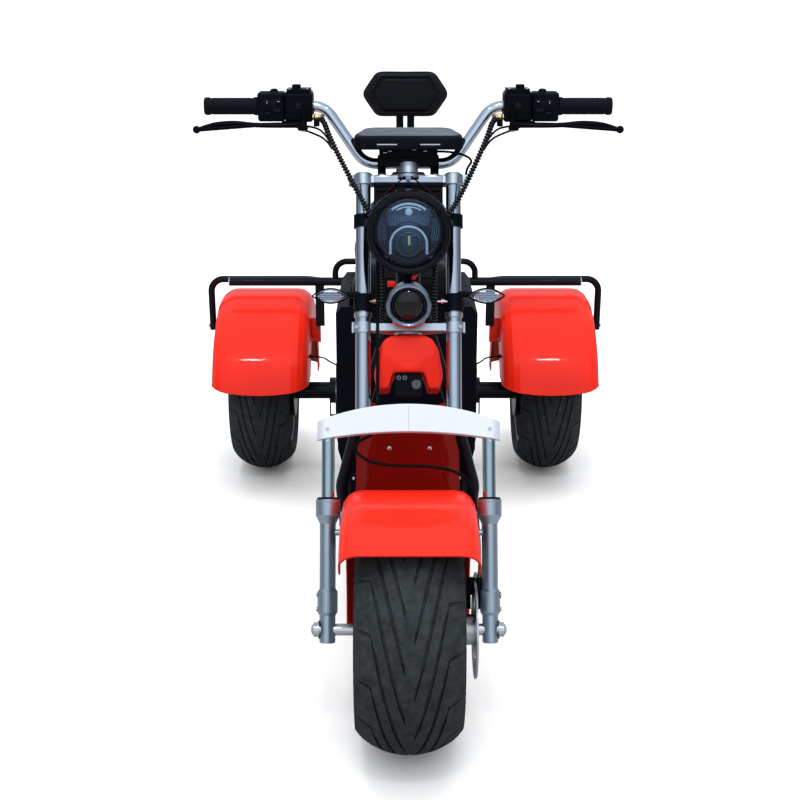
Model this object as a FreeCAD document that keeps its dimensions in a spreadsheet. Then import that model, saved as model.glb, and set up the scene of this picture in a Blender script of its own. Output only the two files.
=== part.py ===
import FreeCAD, Part
import math
import os
import Sketcher
from FreeCAD import Placement, Rotation, Vector

# Three-wheel scooter: one steered wheel in front, two wheels on a driven axle behind.
# Millimetres. +Z is up, the front points along -Y, +X is the side that a viewer in
# front sees on the right. The origin is on the ground under the middle of the vehicle.

SIZES = {
    # wheels and stance
    "wheelbase": 1490,
    "track": 862,
    "rake": 24.5,
    "steer_offset": 35,
    "tyre_height": 86.1,
    "front_tyre_half_width": 103.5,
    "rear_tyre_half_width": 90,
    "tyre_drop_share": 0.3136,
    "tyre_shoulder_share": 0.81,
    "tyre_bulge_share": 0.4832,
    "tyre_wall": 11,
    "tyre_crown_steps": 8,
    "tyre_room_steps": 4,
    "rim_radius": 152.4,
    "rim_inset": 11.5,
    "rim_flange": 11,
    "rim_wall": 5,
    "rim_well": 22,
    "rim_well_in": 47,
    "rim_ledge_in": 32,
    "tyre_side_rise": 5,
    "rim_disc_half": 9,
    "rim_window_share": 0.3054,
    "rim_window_edge": 7.4,
    "rim_windows": 6,
    "hub_radius": 42,
    "front_hub_half": 62,
    "rear_hub_half": 66,
    # fork
    "fork_half": 91.5,
    "fork_tube_radius": 15.4,
    "fork_tube_foot": 402,
    "fork_tube_top": 916,
    "leg_half": 160.5,
    "leg_radius": 15.8,
    "leg_foot": -24,
    "leg_flange_low": 28,
    "leg_flange_high": 80,
    "leg_flange_radius": 20,
    "leg_taper": 6,
    "leg_neck": 207,
    "leg_collar_low": 224,
    "leg_collar_radius": 24,
    "leg_top": 255.5,
    "stanchion_radius": 12.9,
    "seat_gap": 0.1,
    "bridge_half_width": 182.5,
    "bridge_end_low": 372.5,
    "bridge_end_high": 409.5,
    "bridge_low": 389.5,
    "bridge_high": 444.5,
    "bridge_depth": 44,
    "bridge_end_round": 20,
    "bridge_socket": 24,
    "bridge_arch": 17,
    "axle_radius": 10,
    "axle_nut_radius": 14,
    "axle_nut_half": 187,
    "spacer_radius": 11.5,
    # steering yokes
    "lower_yoke_low": 589.6,
    "lower_yoke_high": 610.5,
    "upper_yoke_low": 893,
    "upper_yoke_high": 914,
    "yoke_ring_radius": 20.5,
    "yoke_bar_half": 13,
    "yoke_lug_half": 8,
    "lower_yoke_lug": 2,
    "upper_yoke_lug": 9,
    "yoke_bar_height": 15,
    "stem_radius": 14.8,
    "stem_boss_radius": 28,
    "stem_cap_radius": 21,
    "stem_cap_top": 928,
    "bar_ring_low": 633,
    "bar_ring_high": 668,
    "bar_ring_radius": 19.5,
    # handlebar
    "bar_radius": 11,
    "bar_above_yoke": 21.8,
    "bar_behind_yoke": 21,
    "bar_flat_half": 90,
    "grip_rise": 112.5,
    "grip_back": 25,
    "bar_rise_half": 170,
    "bar_end_half": 415,
    "bar_bend": 45,
    "bar_bore": 8,
    "bar_bore_depth": 50,
    "riser_half": 54,
    "riser_radius": 17,
    "riser_width": 17,
    "riser_post": 27,
    "riser_back": 6,
    "pod_round": 6,
    "grip_radius": 16.4,
    "grip_inner": 306,
    "switch_inner": 250,
    "reservoir_inner": 193,
    "pod_gap": 0.5,
    "reservoir_height": 58,
    "reservoir_depth": 46,
    "reservoir_front": 32,
    "cap_inset": 5,
    "cap_height": 7,
    "lever_radius": 4.5,
    "lever_ball": 6.5,
    "lever_drop": 32,
    "lever_reach": 52,
    "lever_tip_half": 424,
    "lever_tip_drop": 9,
    "lever_pivot_in": 18,
    "lever_pivot_back": 16,
    # display
    "display_half": 108,
    "display_tail_half": 94,
    "display_shoulder": 44,
    "display_length": 150,
    "display_height": 27,
    "display_tray": 17,
    "display_lid_inset": 4,
    "display_front_set": 330,
    "display_rise": 37,
    "display_round": 9,
    "display_foot_half": 59,
    "display_foot_length": 70,
    # lamps
    "headlight_drop": 68.1,
    "headlight_set": 220,
    "headlight_radius": 82.5,
    "headlight_rim": 22,
    "headlight_lens_radius": 68,
    "headlight_bowl_radius": 72,
    "headlight_back_radius": 40,
    "headlight_depth": 103,
    "lamp_wall": 4,
    "lens_crown": 9,
    "lens_thick": 4,
    "lamp_arm_height": 26,
    "lamp_arm_thick": 4,
    "lamp_gap": 13.5,
    "spot_set": 200,
    "spot_radius": 44,
    "spot_rim": 14,
    "spot_lens_radius": 32,
    "spot_depth": 58,
    "spot_cup_radius": 37,
    "bracket_tongue": 40,
    "bracket_post": 6,
    "bracket_post_length": 30,
    "signal_rise": 35,
    "signal_set": 255,
    "signal_inner": 119,
    "signal_outer": 193,
    "signal_radius": 15,
    "signal_stalk_radius": 6,
    "signal_steps": 6,
    # lamp cover and cords
    "lamp_cover_half": 70,
    "lamp_cover_height": 60,
    "lamp_cover_thick": 12,
    "sleeve_radius": 6,
    "sleeve_bend": 14,
    "sleeve_start": 20,
    "sleeve_set": 23,
    "sleeve_drop": 19,
    "sleeve_front": 37,
    "sleeve_half": 161,
    "sleeve_shoulder_along": 985,
    "left_sleeve_elbow": 90,
    "right_sleeve_elbow": 98,
    "sleeve_elbow_along": 846,
    "sleeve_inner_half": 70,
    "sleeve_inner_along": 815,
    "sleeve_low_half": 52,
    "sleeve_low_front": 24,
    "sleeve_low_along": 740,
    "sleeve_foot_front": 6,
    "sleeve_foot_rise": 12,
    "cable_radius": 2.5,
    "cable_bend": 8,
    "display_cable_drop": 10,
    "display_cable_front": 20,
    "display_cable_run": 36,
    "display_cable_half": 134,
    "display_cable_rise": 31,
    "display_cable_end": 118,
    "display_cable_foot": 14,
    "fender_cable_half": 150,
    "fender_cable_rise": 166.5,
    "fender_cable_run": 40,
    "fender_cable_out": 215,
    "fender_cable_out_run": 120,
    "fender_cable_end_run": 180,
    "hose_radius": 3.4,
    "hose_bend": 11,
    "hose_half": 62,
    "hose_step": 25,
    "hose_front": 18,
    "hose_over_bridge": 17,
    "hose_under_bridge": 66,
    "hose_back": 34,
    "hose_out_half": 108,
    "hose_turn_half": 88,
    "hose_leg_half": 143,
    # front fender
    "front_fender_gap": 35.5,
    "front_fender_half": 131,
    "front_fender_round": 38,
    "front_fender_skirt": 26,
    "front_fender_front_angle": 57.5,
    "front_fender_back_angle": -27,
    "fender_wall": 3.5,
    "fender_corner_steps": 4,
    "fender_stub_drop": 84,
    "fender_stub_radius": 6,
    "fender_plate_half": 10,
    "fender_plate_low_drop": 92,
    "fender_plate_drop": 43,
    "fender_plate_thick": 4,
    # front brake
    "disc_radius": 95,
    "disc_set": 130,
    "disc_half": 2,
    "disc_gap": 5,
    "disc_carrier_radius": 30,
    "disc_hole_ring": 56,
    "disc_hole_radius": 15,
    "disc_holes": 6,
    "caliper_low": 38,
    "caliper_back": 12,
    "caliper_length": 62,
    "caliper_width": 30,
    "caliper_depth": 66,
    "caliper_lug": 8,
    # head and frame
    "head_tube_radius": 25,
    "head_cup_radius": 30,
    "head_cup_height": 13,
    "head_bore": 17,
    "bearing_gap": 0.5,
    "frame_tube_radius": 13.5,
    "rail_tube_radius": 12.5,
    "neck_set": 330,
    "neck_rise": 599.5,
    "neck_half": 18,
    "shin_set": 350,
    "shin_rise": 311.5,
    "shin_half": 104,
    "knee_set": 372,
    "knee_rise": 151.5,
    "knee_half": 146,
    "floor_set": 430,
    "floor_rise": -6.5,
    "floor_half": 138,
    "floor_back_ahead": 320,
    "frame_bend": 70,
    "seat_rail_half": 110,
    "seat_rail_ahead": 364,
    "seat_post_ahead": 200,
    "cross_tube_inset": 40,
    "middle_tube_behind": 32,
    # red covers
    "nose_low": 478,
    "nose_high": 582,
    "nose_half_low": 70,
    "nose_lobe_half": 64,
    "nose_lobe_inner": 40,
    "nose_half_high": 60,
    "nose_corner": 26,
    "nose_front": 20,
    "nose_back": 120,
    "nose_turn_radius": 75,
    "nose_arch_half": 31,
    "nose_arch_height": 31,
    "nose_tip_height": 36,
    "nose_wing_rise": 46,
    "nose_fall": 60,
    "nose_fall_back": 17,
    "lock_half": 27,
    "lock_height": 46,
    "lock_depth": 24,
    "lock_front": 4,
    "lock_barrel_radius": 9,
    "lock_barrel_at": 10,
    "cover_wall": 3,
    "panel_rise": 361.5,
    "panel_half_high": 79,
    "panel_middle_rise": 241.5,
    "panel_half_middle": 111,
    "panel_middle_set": 312,
    "panel_half_low": 119,
    "panel_face_half_high": 55,
    "panel_face_half_low": 88,
    "panel_high_set": 296,
    "panel_low_set": 341,
    "panel_turn": 26,
    # floor
    "floorboard_front_set": 338,
    "floorboard_half": 152,
    "floorboard_toe": 142,
    "floorboard_toe_half": 121,
    "floorboard_thick": 20,
    "floorboard_round": 34,
    # battery housing and seat
    "housing_front_share": 0.502,
    "housing_back_ahead": 370,
    "seat_nose": 6,
    "housing_half": 172,
    "housing_waist_rise": 441.5,
    "housing_rise": 459.5,
    "bay_half": 140,
    "housing_foot_half": 150,
    "housing_foot_rise": 91.5,
    "housing_top_half": 158,
    "housing_wall": 5,
    "battery_half": 120,
    "battery_room": 72,
    "battery_height": 250,
    "seat_half": 150,
    "seat_top_half": 122,
    "seat_crown": 14,
    "seat_split_ahead": 368,
    "seat_back_ahead": 45,
    "seat_thick": 104,
    "pillion_rise": 46,
    "seat_split_gap": 6,
    # backrest
    "backrest_ahead": 60,
    "backrest_rise": 899.5,
    "backrest_half": 120,
    "backrest_half_flat": 80,
    "backrest_tall": 118,
    "backrest_thick": 46,
    "strut_half_gap": 15.5,
    "strut_width": 21,
    "strut_thick": 6,
    # rear bars
    "cross_bar_ahead": 90,
    "cross_bar_rise": 365.5,
    "cross_bar_half": 516,
    "cross_bar_bore": 10.5,
    "cross_bar_bore_depth": 60,
    "hoop_radius": 9,
    "hoop_half": 204,
    "hoop_bend": 34,
    "fender_rail_rise": 351.5,
    "fender_rail_outer": 582,
    "fender_rail_inner": 290,
    "fender_rail_low_rise": 195.5,
    "fender_rail_radius": 10,
    "fender_rail_bend": 62,
    "fender_rail_turn": 37,
    "bracket_width": 26,
    "bracket_thick": 5,
    "bracket_low_rise": 230.5,
    "bracket_half": 251,
    # rear fenders
    "rear_fender_gap": 76,
    "rear_fender_half": 139.5,
    "rear_fender_round": 48,
    "rear_fender_skirt": 70,
    "rear_fender_front_angle": 15.4,
    "rear_fender_middle": 418,
    "rear_fender_edge_rise": 18,
    "flap_reach": 30,
    "flap_low_rise": 179.5,
    "flap_rise": 253.5,
    # rear axle
    "axle_tube_radius": 26,
    "axle_case_radius": 74,
    "axle_case_half": 62,
    "axle_flange_radius": 40,
    "axle_flange_half": 9,
    "axle_flange_at": 222,
    "axle_hook_half": 11,
    "axle_hook_wall": 4,
    "axle_hook_drop": 84,
    "axle_hook_thick": 10,
    "motor_radius": 66,
    "motor_length": 150,
    "motor_overlap": 30,
    "motor_rise": 13.5,
    "drum_radius": 78,
    "drum_half": 14,
    "arm_half": 162,
    "arm_radius": 13,
    "arm_eye_radius": 18,
    "arm_eye_half": 13,
    "pivot_radius": 10,
    "pivot_ahead": 303,
    "pivot_rise": 61.5,
    "shock_radius": 22,
    "shock_rod_radius": 8,
    "shock_foot_ahead": 12,
    "shock_top_ahead": 38,
    "shock_half": 110,
    "shock_foot_eye": 24,
    "shock_neck": 48,
    "shaft_radius": 10,
    "shaft_inner": 210,
    "shaft_nut_radius": 17,
    "shaft_nut_length": 12,
    "tail_lamp_half": 60,
    "tail_lamp_height": 44,
    "tail_lamp_depth": 36,
    # shared
    "overrun": 2,
    "part_gap": 0.3,
}


class Size:
    """A number that remembers the sheet expression it comes from."""

    def __init__(self, value, text):
        self.value = float(value)
        self.text = text

    def __float__(self):
        return self.value

    def __neg__(self):
        return Size(-self.value, "(-" + self.text + ")")

    def __add__(self, other):
        other = sized(other)
        return Size(self.value + other.value, "(" + self.text + " + " + other.text + ")")

    def __sub__(self, other):
        other = sized(other)
        return Size(self.value - other.value, "(" + self.text + " - " + other.text + ")")

    def __mul__(self, other):
        other = sized(other)
        return Size(self.value * other.value, "(" + self.text + " * " + other.text + ")")

    def __truediv__(self, other):
        other = sized(other)
        return Size(self.value / other.value, "(" + self.text + " / " + other.text + ")")

    __radd__ = __add__
    __rmul__ = __mul__

    def __rsub__(self, other):
        return sized(other) - self


def sized(value):
    if isinstance(value, Size):
        return value
    return Size(value, "(" + repr(value) + ")")


def sine(angle):
    return Size(math.sin(math.radians(angle.value)), "sin(" + angle.text + " * 1deg)")


def cosine(angle):
    return Size(math.cos(math.radians(angle.value)), "cos(" + angle.text + " * 1deg)")


class Sheet:
    """The spreadsheet of driving sizes, read back as attributes."""

    def __init__(self, doc):
        self.cells = doc.addObject("Spreadsheet::Sheet", "Sizes")
        for row, name in enumerate(SIZES, start=1):
            self.cells.set("A" + str(row), name)
            self.cells.set("B" + str(row), str(SIZES[name]))
            self.cells.setAlias("B" + str(row), name)
        doc.recompute()

    def __getattr__(self, name):
        return Size(getattr(self.cells, name), "Sizes." + name)


doc = FreeCAD.newDocument("ThreeWheelScooter")
s = Sheet(doc)
pieces = []
X = Vector(1, 0, 0)
Y = Vector(0, 1, 0)
Z = Vector(0, 0, 1)

# The axles lie at the tyre's radius, and the heights of frame and body are taken from there.
tyre_radius = s.rim_radius + s.tyre_height
tyre_bulge_radius = s.rim_radius + s.tyre_height * s.tyre_bulge_share
tyre_shoulder_drop = s.tyre_height * s.tyre_drop_share
front_fender_radius = tyre_radius + s.front_fender_gap
rear_fender_radius = tyre_radius + s.rear_fender_gap
neck_height = tyre_radius + s.neck_rise
shin_height = tyre_radius + s.shin_rise
knee_height = tyre_radius + s.knee_rise
floor_height = tyre_radius + s.floor_rise
panel_high = tyre_radius + s.panel_rise
panel_middle = tyre_radius + s.panel_middle_rise
housing_foot_height = tyre_radius + s.housing_foot_rise
housing_waist = tyre_radius + s.housing_waist_rise
housing_top = tyre_radius + s.housing_rise
backrest_height = tyre_radius + s.backrest_rise
fender_rail_height = tyre_radius + s.fender_rail_rise
fender_rail_low = tyre_radius + s.fender_rail_low_rise
bracket_low = tyre_radius + s.bracket_low_rise
flap_low = tyre_radius + s.flap_low_rise
flap_high = tyre_radius + s.flap_rise
motor_height = tyre_radius + s.motor_rise
pivot_height = tyre_radius + s.pivot_rise
fender_cable_height = tyre_radius + s.fender_cable_rise

# The front axle lies so far ahead of the origin that the length is halved there.
front_axle_y = -(s.wheelbase + rear_fender_radius - tyre_radius) / 2
rear_axle_y = front_axle_y + s.wheelbase

# The lamps and the handlebar take their heights from the raked upper yoke.
headlight_height = tyre_radius + s.upper_yoke_low * cosine(s.rake) - s.headlight_drop
spot_height = headlight_height - s.headlight_radius - s.spot_radius - s.lamp_gap
signal_height = tyre_radius + s.bar_ring_low * cosine(s.rake) + s.signal_rise
bar_height = tyre_radius + s.upper_yoke_high * cosine(s.rake) + s.bar_above_yoke
bar_set = s.upper_yoke_high * sine(s.rake) + s.bar_behind_yoke
display_low = bar_height + s.display_rise
grip_height = bar_height + s.grip_rise
grip_set = bar_set + s.grip_back

# The floorboard and the housing lie on the frame's lower tubes.
floor_level = floor_height + s.frame_tube_radius + s.part_gap
floor_top = floor_level + s.floorboard_thick

# What stands near the rear axle is placed ahead of it, and the housing's front lies at a share
# of the wheelbase.
floor_back_set = s.wheelbase - s.floor_back_ahead
seat_rail_front = s.wheelbase - s.seat_rail_ahead
seat_post_set = s.wheelbase - s.seat_post_ahead
housing_front_set = s.wheelbase * s.housing_front_share
housing_back_set = s.wheelbase - s.housing_back_ahead
floor_middle_set = housing_front_set + s.middle_tube_behind
seat_front_set = housing_front_set - s.seat_nose
seat_split_set = s.wheelbase - s.seat_split_ahead
seat_back_set = s.wheelbase - s.seat_back_ahead
backrest_set = s.wheelbase - s.backrest_ahead
cross_bar_set = s.wheelbase - s.cross_bar_ahead
pivot_set = s.wheelbase - s.pivot_ahead
shock_foot_set = s.wheelbase - s.shock_foot_ahead
shock_top_set = s.wheelbase - s.shock_top_ahead

# The seat lies on the housing's rim and on two rails of the same height.
seat_base = housing_top + s.part_gap
seat_rail_height = housing_top - s.rail_tube_radius
strut_back = backrest_set + s.backrest_thick / 2 + s.part_gap + s.strut_thick
seat_rail_back = strut_back + s.part_gap + s.rail_tube_radius * 2
cross_bar_height = tyre_radius + s.cross_bar_rise
hoop_height = seat_rail_height - s.rail_tube_radius - s.hoop_radius


quarter_turn = 90
half_turn = 180
full_turn = 360


def bind(thing, values):
    for name, value in values.items():
        thing.setExpression(name, sized(value).text)


def place(thing, x=0, y=0, z=0, axis=None, angle=0):
    """Puts an object at a bound place, turned about one axis."""
    base = Vector(float(x), float(y), float(z))
    thing.Placement = Placement(base, Rotation(axis or X, float(angle)))
    bind(thing, {"Placement.Base.x": x, "Placement.Base.y": y, "Placement.Base.z": z})
    if isinstance(angle, Size):
        bind(thing, {"Placement.Rotation.Angle": angle})


def on_fork(thing, x=0, back=0, along=0):
    """Puts an object modelled upright onto the raked fork, from the axle upwards."""
    y = front_axle_y + back * cosine(s.rake) + along * sine(s.rake)
    z = tyre_radius - back * sine(s.rake) + along * cosine(s.rake)
    place(thing, x, y, z, X, -s.rake)


def fork_frame():
    base = Vector(0, float(front_axle_y), tyre_radius.value)
    return Placement(base, Rotation(X, -s.rake.value))


def at(x, back_of_axle, z):
    """A point given by its distance behind the front axle."""
    return Vector(float(x), float(front_axle_y + back_of_axle), float(z))


def keep(thing, label):
    thing.Label = label
    pieces.append(thing)
    return thing


def body(name):
    return doc.addObject("PartDesign::Body", name)


def sketch(owner, role, offset=0):
    """A sketch on one of the body's own origin planes, lifted by a bound offset."""
    drawing = owner.newObject("Sketcher::SketchObject", owner.Name + "_sketch")
    plane = [item for item in owner.Origin.OriginFeatures if item.Role == role][0]
    drawing.AttachmentSupport = [(plane, "")]
    drawing.MapMode = "FlatFace"
    if isinstance(offset, Size):
        bind(drawing, {"AttachmentOffset.Base.z": offset})
    return drawing


def fix_point(drawing, edge, end, x, y):
    for kind, value in (("DistanceX", sized(x)), ("DistanceY", sized(y))):
        number = drawing.addConstraint(Sketcher.Constraint(kind, -1, 1, edge, end, value.value))
        drawing.setExpression("Constraints[" + str(number) + "]", value.text)


def outline(drawing, points):
    """A closed outline through bound points. A point may carry a bulge to the next one:
    the height of an arc over the chord, to the left of the way when it is positive."""
    count = len(points)
    ends = []
    for index, start in enumerate(points):
        stop = points[(index + 1) % count]
        first = Vector(float(start[0]), float(start[1]), 0)
        last = Vector(float(stop[0]), float(stop[1]), 0)
        if len(start) == 2:
            edge = drawing.addGeometry(Part.LineSegment(first, last), False)
            ends.append((edge, 1, 2))
            continue
        chord = last - first
        rise = sized(start[2])
        side = Vector(-chord.y, chord.x, 0).normalize()
        middle = (first + last) / 2 + side * rise.value
        if rise.value < 0:
            edge = drawing.addGeometry(Part.Arc(first, middle, last), False)
            ends.append((edge, 1, 2))
        else:
            edge = drawing.addGeometry(Part.Arc(last, middle, first), False)
            ends.append((edge, 2, 1))
        across = (sized(stop[0]) - start[0]) * (sized(stop[0]) - start[0])
        along = (sized(stop[1]) - start[1]) * (sized(stop[1]) - start[1])
        height = rise if rise.value > 0 else -rise
        radius = (across + along) / (height * 8) + height / 2
        number = drawing.addConstraint(Sketcher.Constraint("Radius", edge, radius.value))
        drawing.setExpression("Constraints[" + str(number) + "]", radius.text)
    for index in range(count):
        here = ends[index]
        after = ends[(index + 1) % count]
        drawing.addConstraint(Sketcher.Constraint("Coincident", here[0], here[2], after[0], after[1]))
    for index, start in enumerate(points):
        fix_point(drawing, ends[index][0], ends[index][1], start[0], start[1])
    return drawing


def circle(drawing, x, y, radius):
    centre = Vector(float(x), float(y), 0)
    edge = drawing.addGeometry(Part.Circle(centre, Z, float(radius)), False)
    number = drawing.addConstraint(Sketcher.Constraint("Radius", edge, float(radius)))
    drawing.setExpression("Constraints[" + str(number) + "]", sized(radius).text)
    fix_point(drawing, edge, 3, x, y)
    return drawing


def feature(owner, kind, drawing, **settings):
    made = owner.newObject("PartDesign::" + kind, owner.Name + "_" + kind)
    made.Profile = drawing
    for name, value in settings.items():
        if isinstance(value, Size):
            bind(made, {name: value})
        else:
            setattr(made, name, value)
    doc.recompute()
    return made


def turned(owner, drawing, axis, angle=full_turn, **settings):
    """Revolves a sketch about its own horizontal or vertical axis."""
    made = owner.newObject("PartDesign::Revolution", owner.Name + "_turn")
    made.Profile = drawing
    made.ReferenceAxis = (drawing, [axis])
    if isinstance(angle, Size):
        bind(made, {"Angle": angle})
    else:
        made.Angle = angle
    for name, value in settings.items():
        setattr(made, name, value)
    doc.recompute()
    return made


def edges_along(shape, way, test=None):
    """Names of the straight edges that run along a direction."""
    found = []
    for number, edge in enumerate(shape.Edges, start=1):
        if len(edge.Vertexes) != 2 or edge.Curve.TypeId != "Part::GeomLine":
            continue
        run = (edge.Vertexes[1].Point - edge.Vertexes[0].Point).normalize()
        if abs(abs(run.dot(way)) - 1) < 1e-6 and (test is None or test(edge.CenterOfMass)):
            found.append("Edge" + str(number))
    return found


def rounded(owner, base, names, radius):
    made = owner.newObject("PartDesign::Fillet", owner.Name + "_round")
    made.Base = (base, names)
    bind(made, {"Radius": radius})
    doc.recompute()
    return made


def mirrored(label, thing):
    """A node of two solids: a piece and its mirror image across the middle plane."""
    doc.recompute()
    other = doc.addObject("Part::Mirroring", label + "_other")
    other.Source = thing
    other.Normal = X
    both = doc.addObject("Part::Compound", label)
    both.Links = [thing, other]
    return keep(both, label)


def other_side(label, thing):
    """A node of its own that mirrors a piece across the middle plane."""
    other = doc.addObject("Part::Mirroring", label)
    other.Source = thing
    other.Normal = X
    return keep(other, label)


def cylinder(name, radius, height):
    made = doc.addObject("Part::Cylinder", name)
    bind(made, {"Radius": radius, "Height": height})
    return made


def box(name, length, width, height):
    made = doc.addObject("Part::Box", name)
    bind(made, {"Length": length, "Width": width, "Height": height})
    return made


def cut(name, base, *tools):
    tool = tools[0]
    if len(tools) > 1:
        tool = doc.addObject("Part::MultiFuse", name + "_tools")
        tool.Shapes = list(tools)
    made = doc.addObject("Part::Cut", name)
    made.Base = base
    made.Tool = tool
    return made


def solid(name, shape, placement=None):
    """A piece whose shape is made directly from the sheet's sizes."""
    made = doc.addObject("Part::Feature", name)
    made.Shape = shape
    if placement is not None:
        made.Placement = placement
    return made


def run_path(points, bend):
    """Straight runs through the points, joined by tangent arcs of one radius."""
    edges = []
    start = points[0]
    for before, corner, after in zip(points, points[1:], points[2:]):
        inward = (corner - before).normalize()
        onward = (after - corner).normalize()
        turn = inward.getAngle(onward)
        reach = float(bend) * math.tan(turn / 2)
        enter = corner - inward * reach
        leave = corner + onward * reach
        heart = (onward - inward).normalize()
        middle = corner + heart * (float(bend) / math.cos(turn / 2) - float(bend))
        edges.append(Part.LineSegment(start, enter).toShape())
        edges.append(Part.Arc(enter, middle, leave).toShape())
        start = leave
    edges.append(Part.LineSegment(start, points[-1]).toShape())
    return Part.Wire(edges)


def tube(points, radius, bend=0):
    path = run_path(points, bend)
    way = points[1] - points[0]
    ring = Part.Wire([Part.makeCircle(float(radius), points[0], way)])
    return path.makePipeShell([ring], True, False)


def rod(start, stop, radius):
    way = stop - start
    return Part.makeCylinder(float(radius), way.Length, start, way)


def mirror(shape):
    return shape.mirror(Vector(0, 0, 0), X)


def pair(label, shape):
    """A node of two solids made from one shape and its mirror image."""
    return keep(solid(label, Part.makeCompound([shape, mirror(shape)])), label)


def largest(shape):
    return sorted(shape.Solids, key=lambda item: item.Volume)[-1]


def fork_tube_ring(low, height):
    """A clamp ring round the right fork tube, and the tube's whole room to cut it with."""
    foot = Vector(float(s.fork_half), 0, float(low))
    ring = Part.makeCylinder(float(s.bar_ring_radius), float(height), foot)
    room = Part.makeCylinder(float(s.fork_tube_radius + s.seat_gap), float(s.fork_tube_top),
                             Vector(float(s.fork_half), 0, 0))
    for shape in (ring, room):
        shape.Placement = fork_frame().multiply(shape.Placement)
    return ring, room



# Wheels: the axle runs along local X, so a profile is drawn as (along the axle, radius).

def crown(half, foot, rise, steps):
    """Points along a shallow crown from one edge to the other, both edges included."""
    points = []
    for step in range(steps + 1):
        share = step / steps
        lift = 4 * share * (1 - share)
        points.append((half * (2 * share - 1), foot + rise * lift))
    return points


def tyre(label, wide):
    owner = body(label)
    bead = wide - s.rim_inset - s.rim_wall - s.part_gap
    bead_foot = s.rim_radius + s.part_gap
    bead_top = s.rim_radius + s.rim_flange + s.part_gap
    shoulder = tyre_radius - tyre_shoulder_drop
    shoulder_half = wide * s.tyre_shoulder_share
    cheek = (
        (shoulder_half, wide, shoulder, tyre_bulge_radius, s.tyre_side_rise),
        (wide, bead, tyre_bulge_radius, bead_top, s.tyre_side_rise),
    )
    upper, lower = [((a + b) / 2 + rise / 2, (c + d) / 2 + rise / 2) for a, b, c, d, rise in cheek]
    inner_half = shoulder_half - s.tyre_wall / 2
    bead_inner = bead - s.tyre_wall
    drawing = outline(
        sketch(owner, "XY_Plane"),
        [(-bead, bead_foot), (-bead, bead_top), (-lower[0], lower[1]), (-wide, tyre_bulge_radius),
         (-upper[0], upper[1])]
        + crown(shoulder_half, shoulder, tyre_shoulder_drop, int(s.tyre_crown_steps.value))
        + [upper, (wide, tyre_bulge_radius), lower, (bead, bead_top), (bead, bead_foot),
           (bead_inner, bead_foot), (bead_inner, bead_top), (wide - s.tyre_wall, tyre_bulge_radius)]
        + crown(-inner_half, shoulder - s.tyre_wall, tyre_shoulder_drop, int(s.tyre_room_steps.value))
        + [(-wide + s.tyre_wall, tyre_bulge_radius), (-bead_inner, bead_top), (-bead_inner, bead_foot)])
    turned(owner, drawing, "H_Axis")
    return keep(owner, label)


def rim(label, half, hub_half, hub_profile):
    """A cast rim: a dropped barrel, a disc with round windows and a hub."""
    owner = body(label)
    ledge = half - s.rim_ledge_in
    floor = half - s.rim_well_in
    lip = s.rim_radius + s.rim_flange
    well = s.rim_radius - s.rim_well
    under = s.rim_radius - s.rim_wall
    barrel = outline(sketch(owner, "XY_Plane"), [
        (-half, lip),
        (-half + s.rim_wall, lip),
        (-half + s.rim_wall, s.rim_radius),
        (-ledge, s.rim_radius),
        (-floor, well),
        (floor, well),
        (ledge, s.rim_radius),
        (half - s.rim_wall, s.rim_radius),
        (half - s.rim_wall, lip),
        (half, lip),
        (half, under),
        (ledge - s.rim_wall / 2, under),
        (floor - s.rim_wall / 2, well - s.rim_wall),
        (-floor + s.rim_wall / 2, well - s.rim_wall),
        (-ledge + s.rim_wall / 2, under),
        (-half, under),
    ])
    turned(owner, barrel, "H_Axis")
    disc = outline(sketch(owner, "XY_Plane"), [
        (-s.rim_disc_half, s.hub_radius - s.overrun),
        (-s.rim_disc_half, well - s.rim_wall / 2),
        (s.rim_disc_half, well - s.rim_wall / 2),
        (s.rim_disc_half, s.hub_radius - s.overrun),
    ])
    turned(owner, disc, "H_Axis")
    hub = outline(sketch(owner, "XY_Plane"), hub_profile(hub_half))
    turned(owner, hub, "H_Axis")
    window_radius = (well - s.hub_radius) * s.rim_window_share
    ring = well - window_radius - s.rim_window_edge
    window = circle(sketch(owner, "YZ_Plane"), 0, ring, window_radius)
    hole = feature(owner, "Pocket", window, Type="ThroughAll", Midplane=True)
    pattern = owner.newObject("PartDesign::PolarPattern", label + "_windows")
    pattern.Originals = [hole]
    pattern.Axis = (window, ["N_Axis"])
    pattern.Occurrences = int(s.rim_windows.value)
    owner.Tip = pattern
    doc.recompute()
    return keep(owner, label)


def bored_hub(half):
    bore = s.axle_radius + s.part_gap
    return [(-half, bore), (-half, s.hub_radius), (half, s.hub_radius), (half, bore)]


def driven_hub(half):
    """A hub on its half shaft, which runs inwards into the axle tube."""
    return [
        (s.shaft_inner - s.track / 2, 0),
        (s.shaft_inner - s.track / 2, s.shaft_radius),
        (-half, s.shaft_radius),
        (-half, s.hub_radius),
        (half, s.hub_radius),
        (half, s.shaft_nut_radius),
        (half + s.shaft_nut_length, s.shaft_nut_radius),
        (half + s.shaft_nut_length, 0),
    ]


def wheels():
    wide = s.front_tyre_half_width
    for piece in (tyre("front_tyre", wide),
                  rim("front_rim", wide - s.rim_inset, s.front_hub_half, bored_hub)):
        place(piece, 0, front_axle_y, tyre_radius)
    wide = s.rear_tyre_half_width
    for side, x in (("left", -s.track / 2), ("right", s.track / 2)):
        place(tyre("rear_tyre_" + side, wide), x, rear_axle_y, tyre_radius)
    driven = rim("rear_rim_right", wide - s.rim_inset, s.rear_hub_half, driven_hub)
    place(driven, s.track / 2, rear_axle_y, tyre_radius)
    other_side("rear_rim_left", driven)


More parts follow.
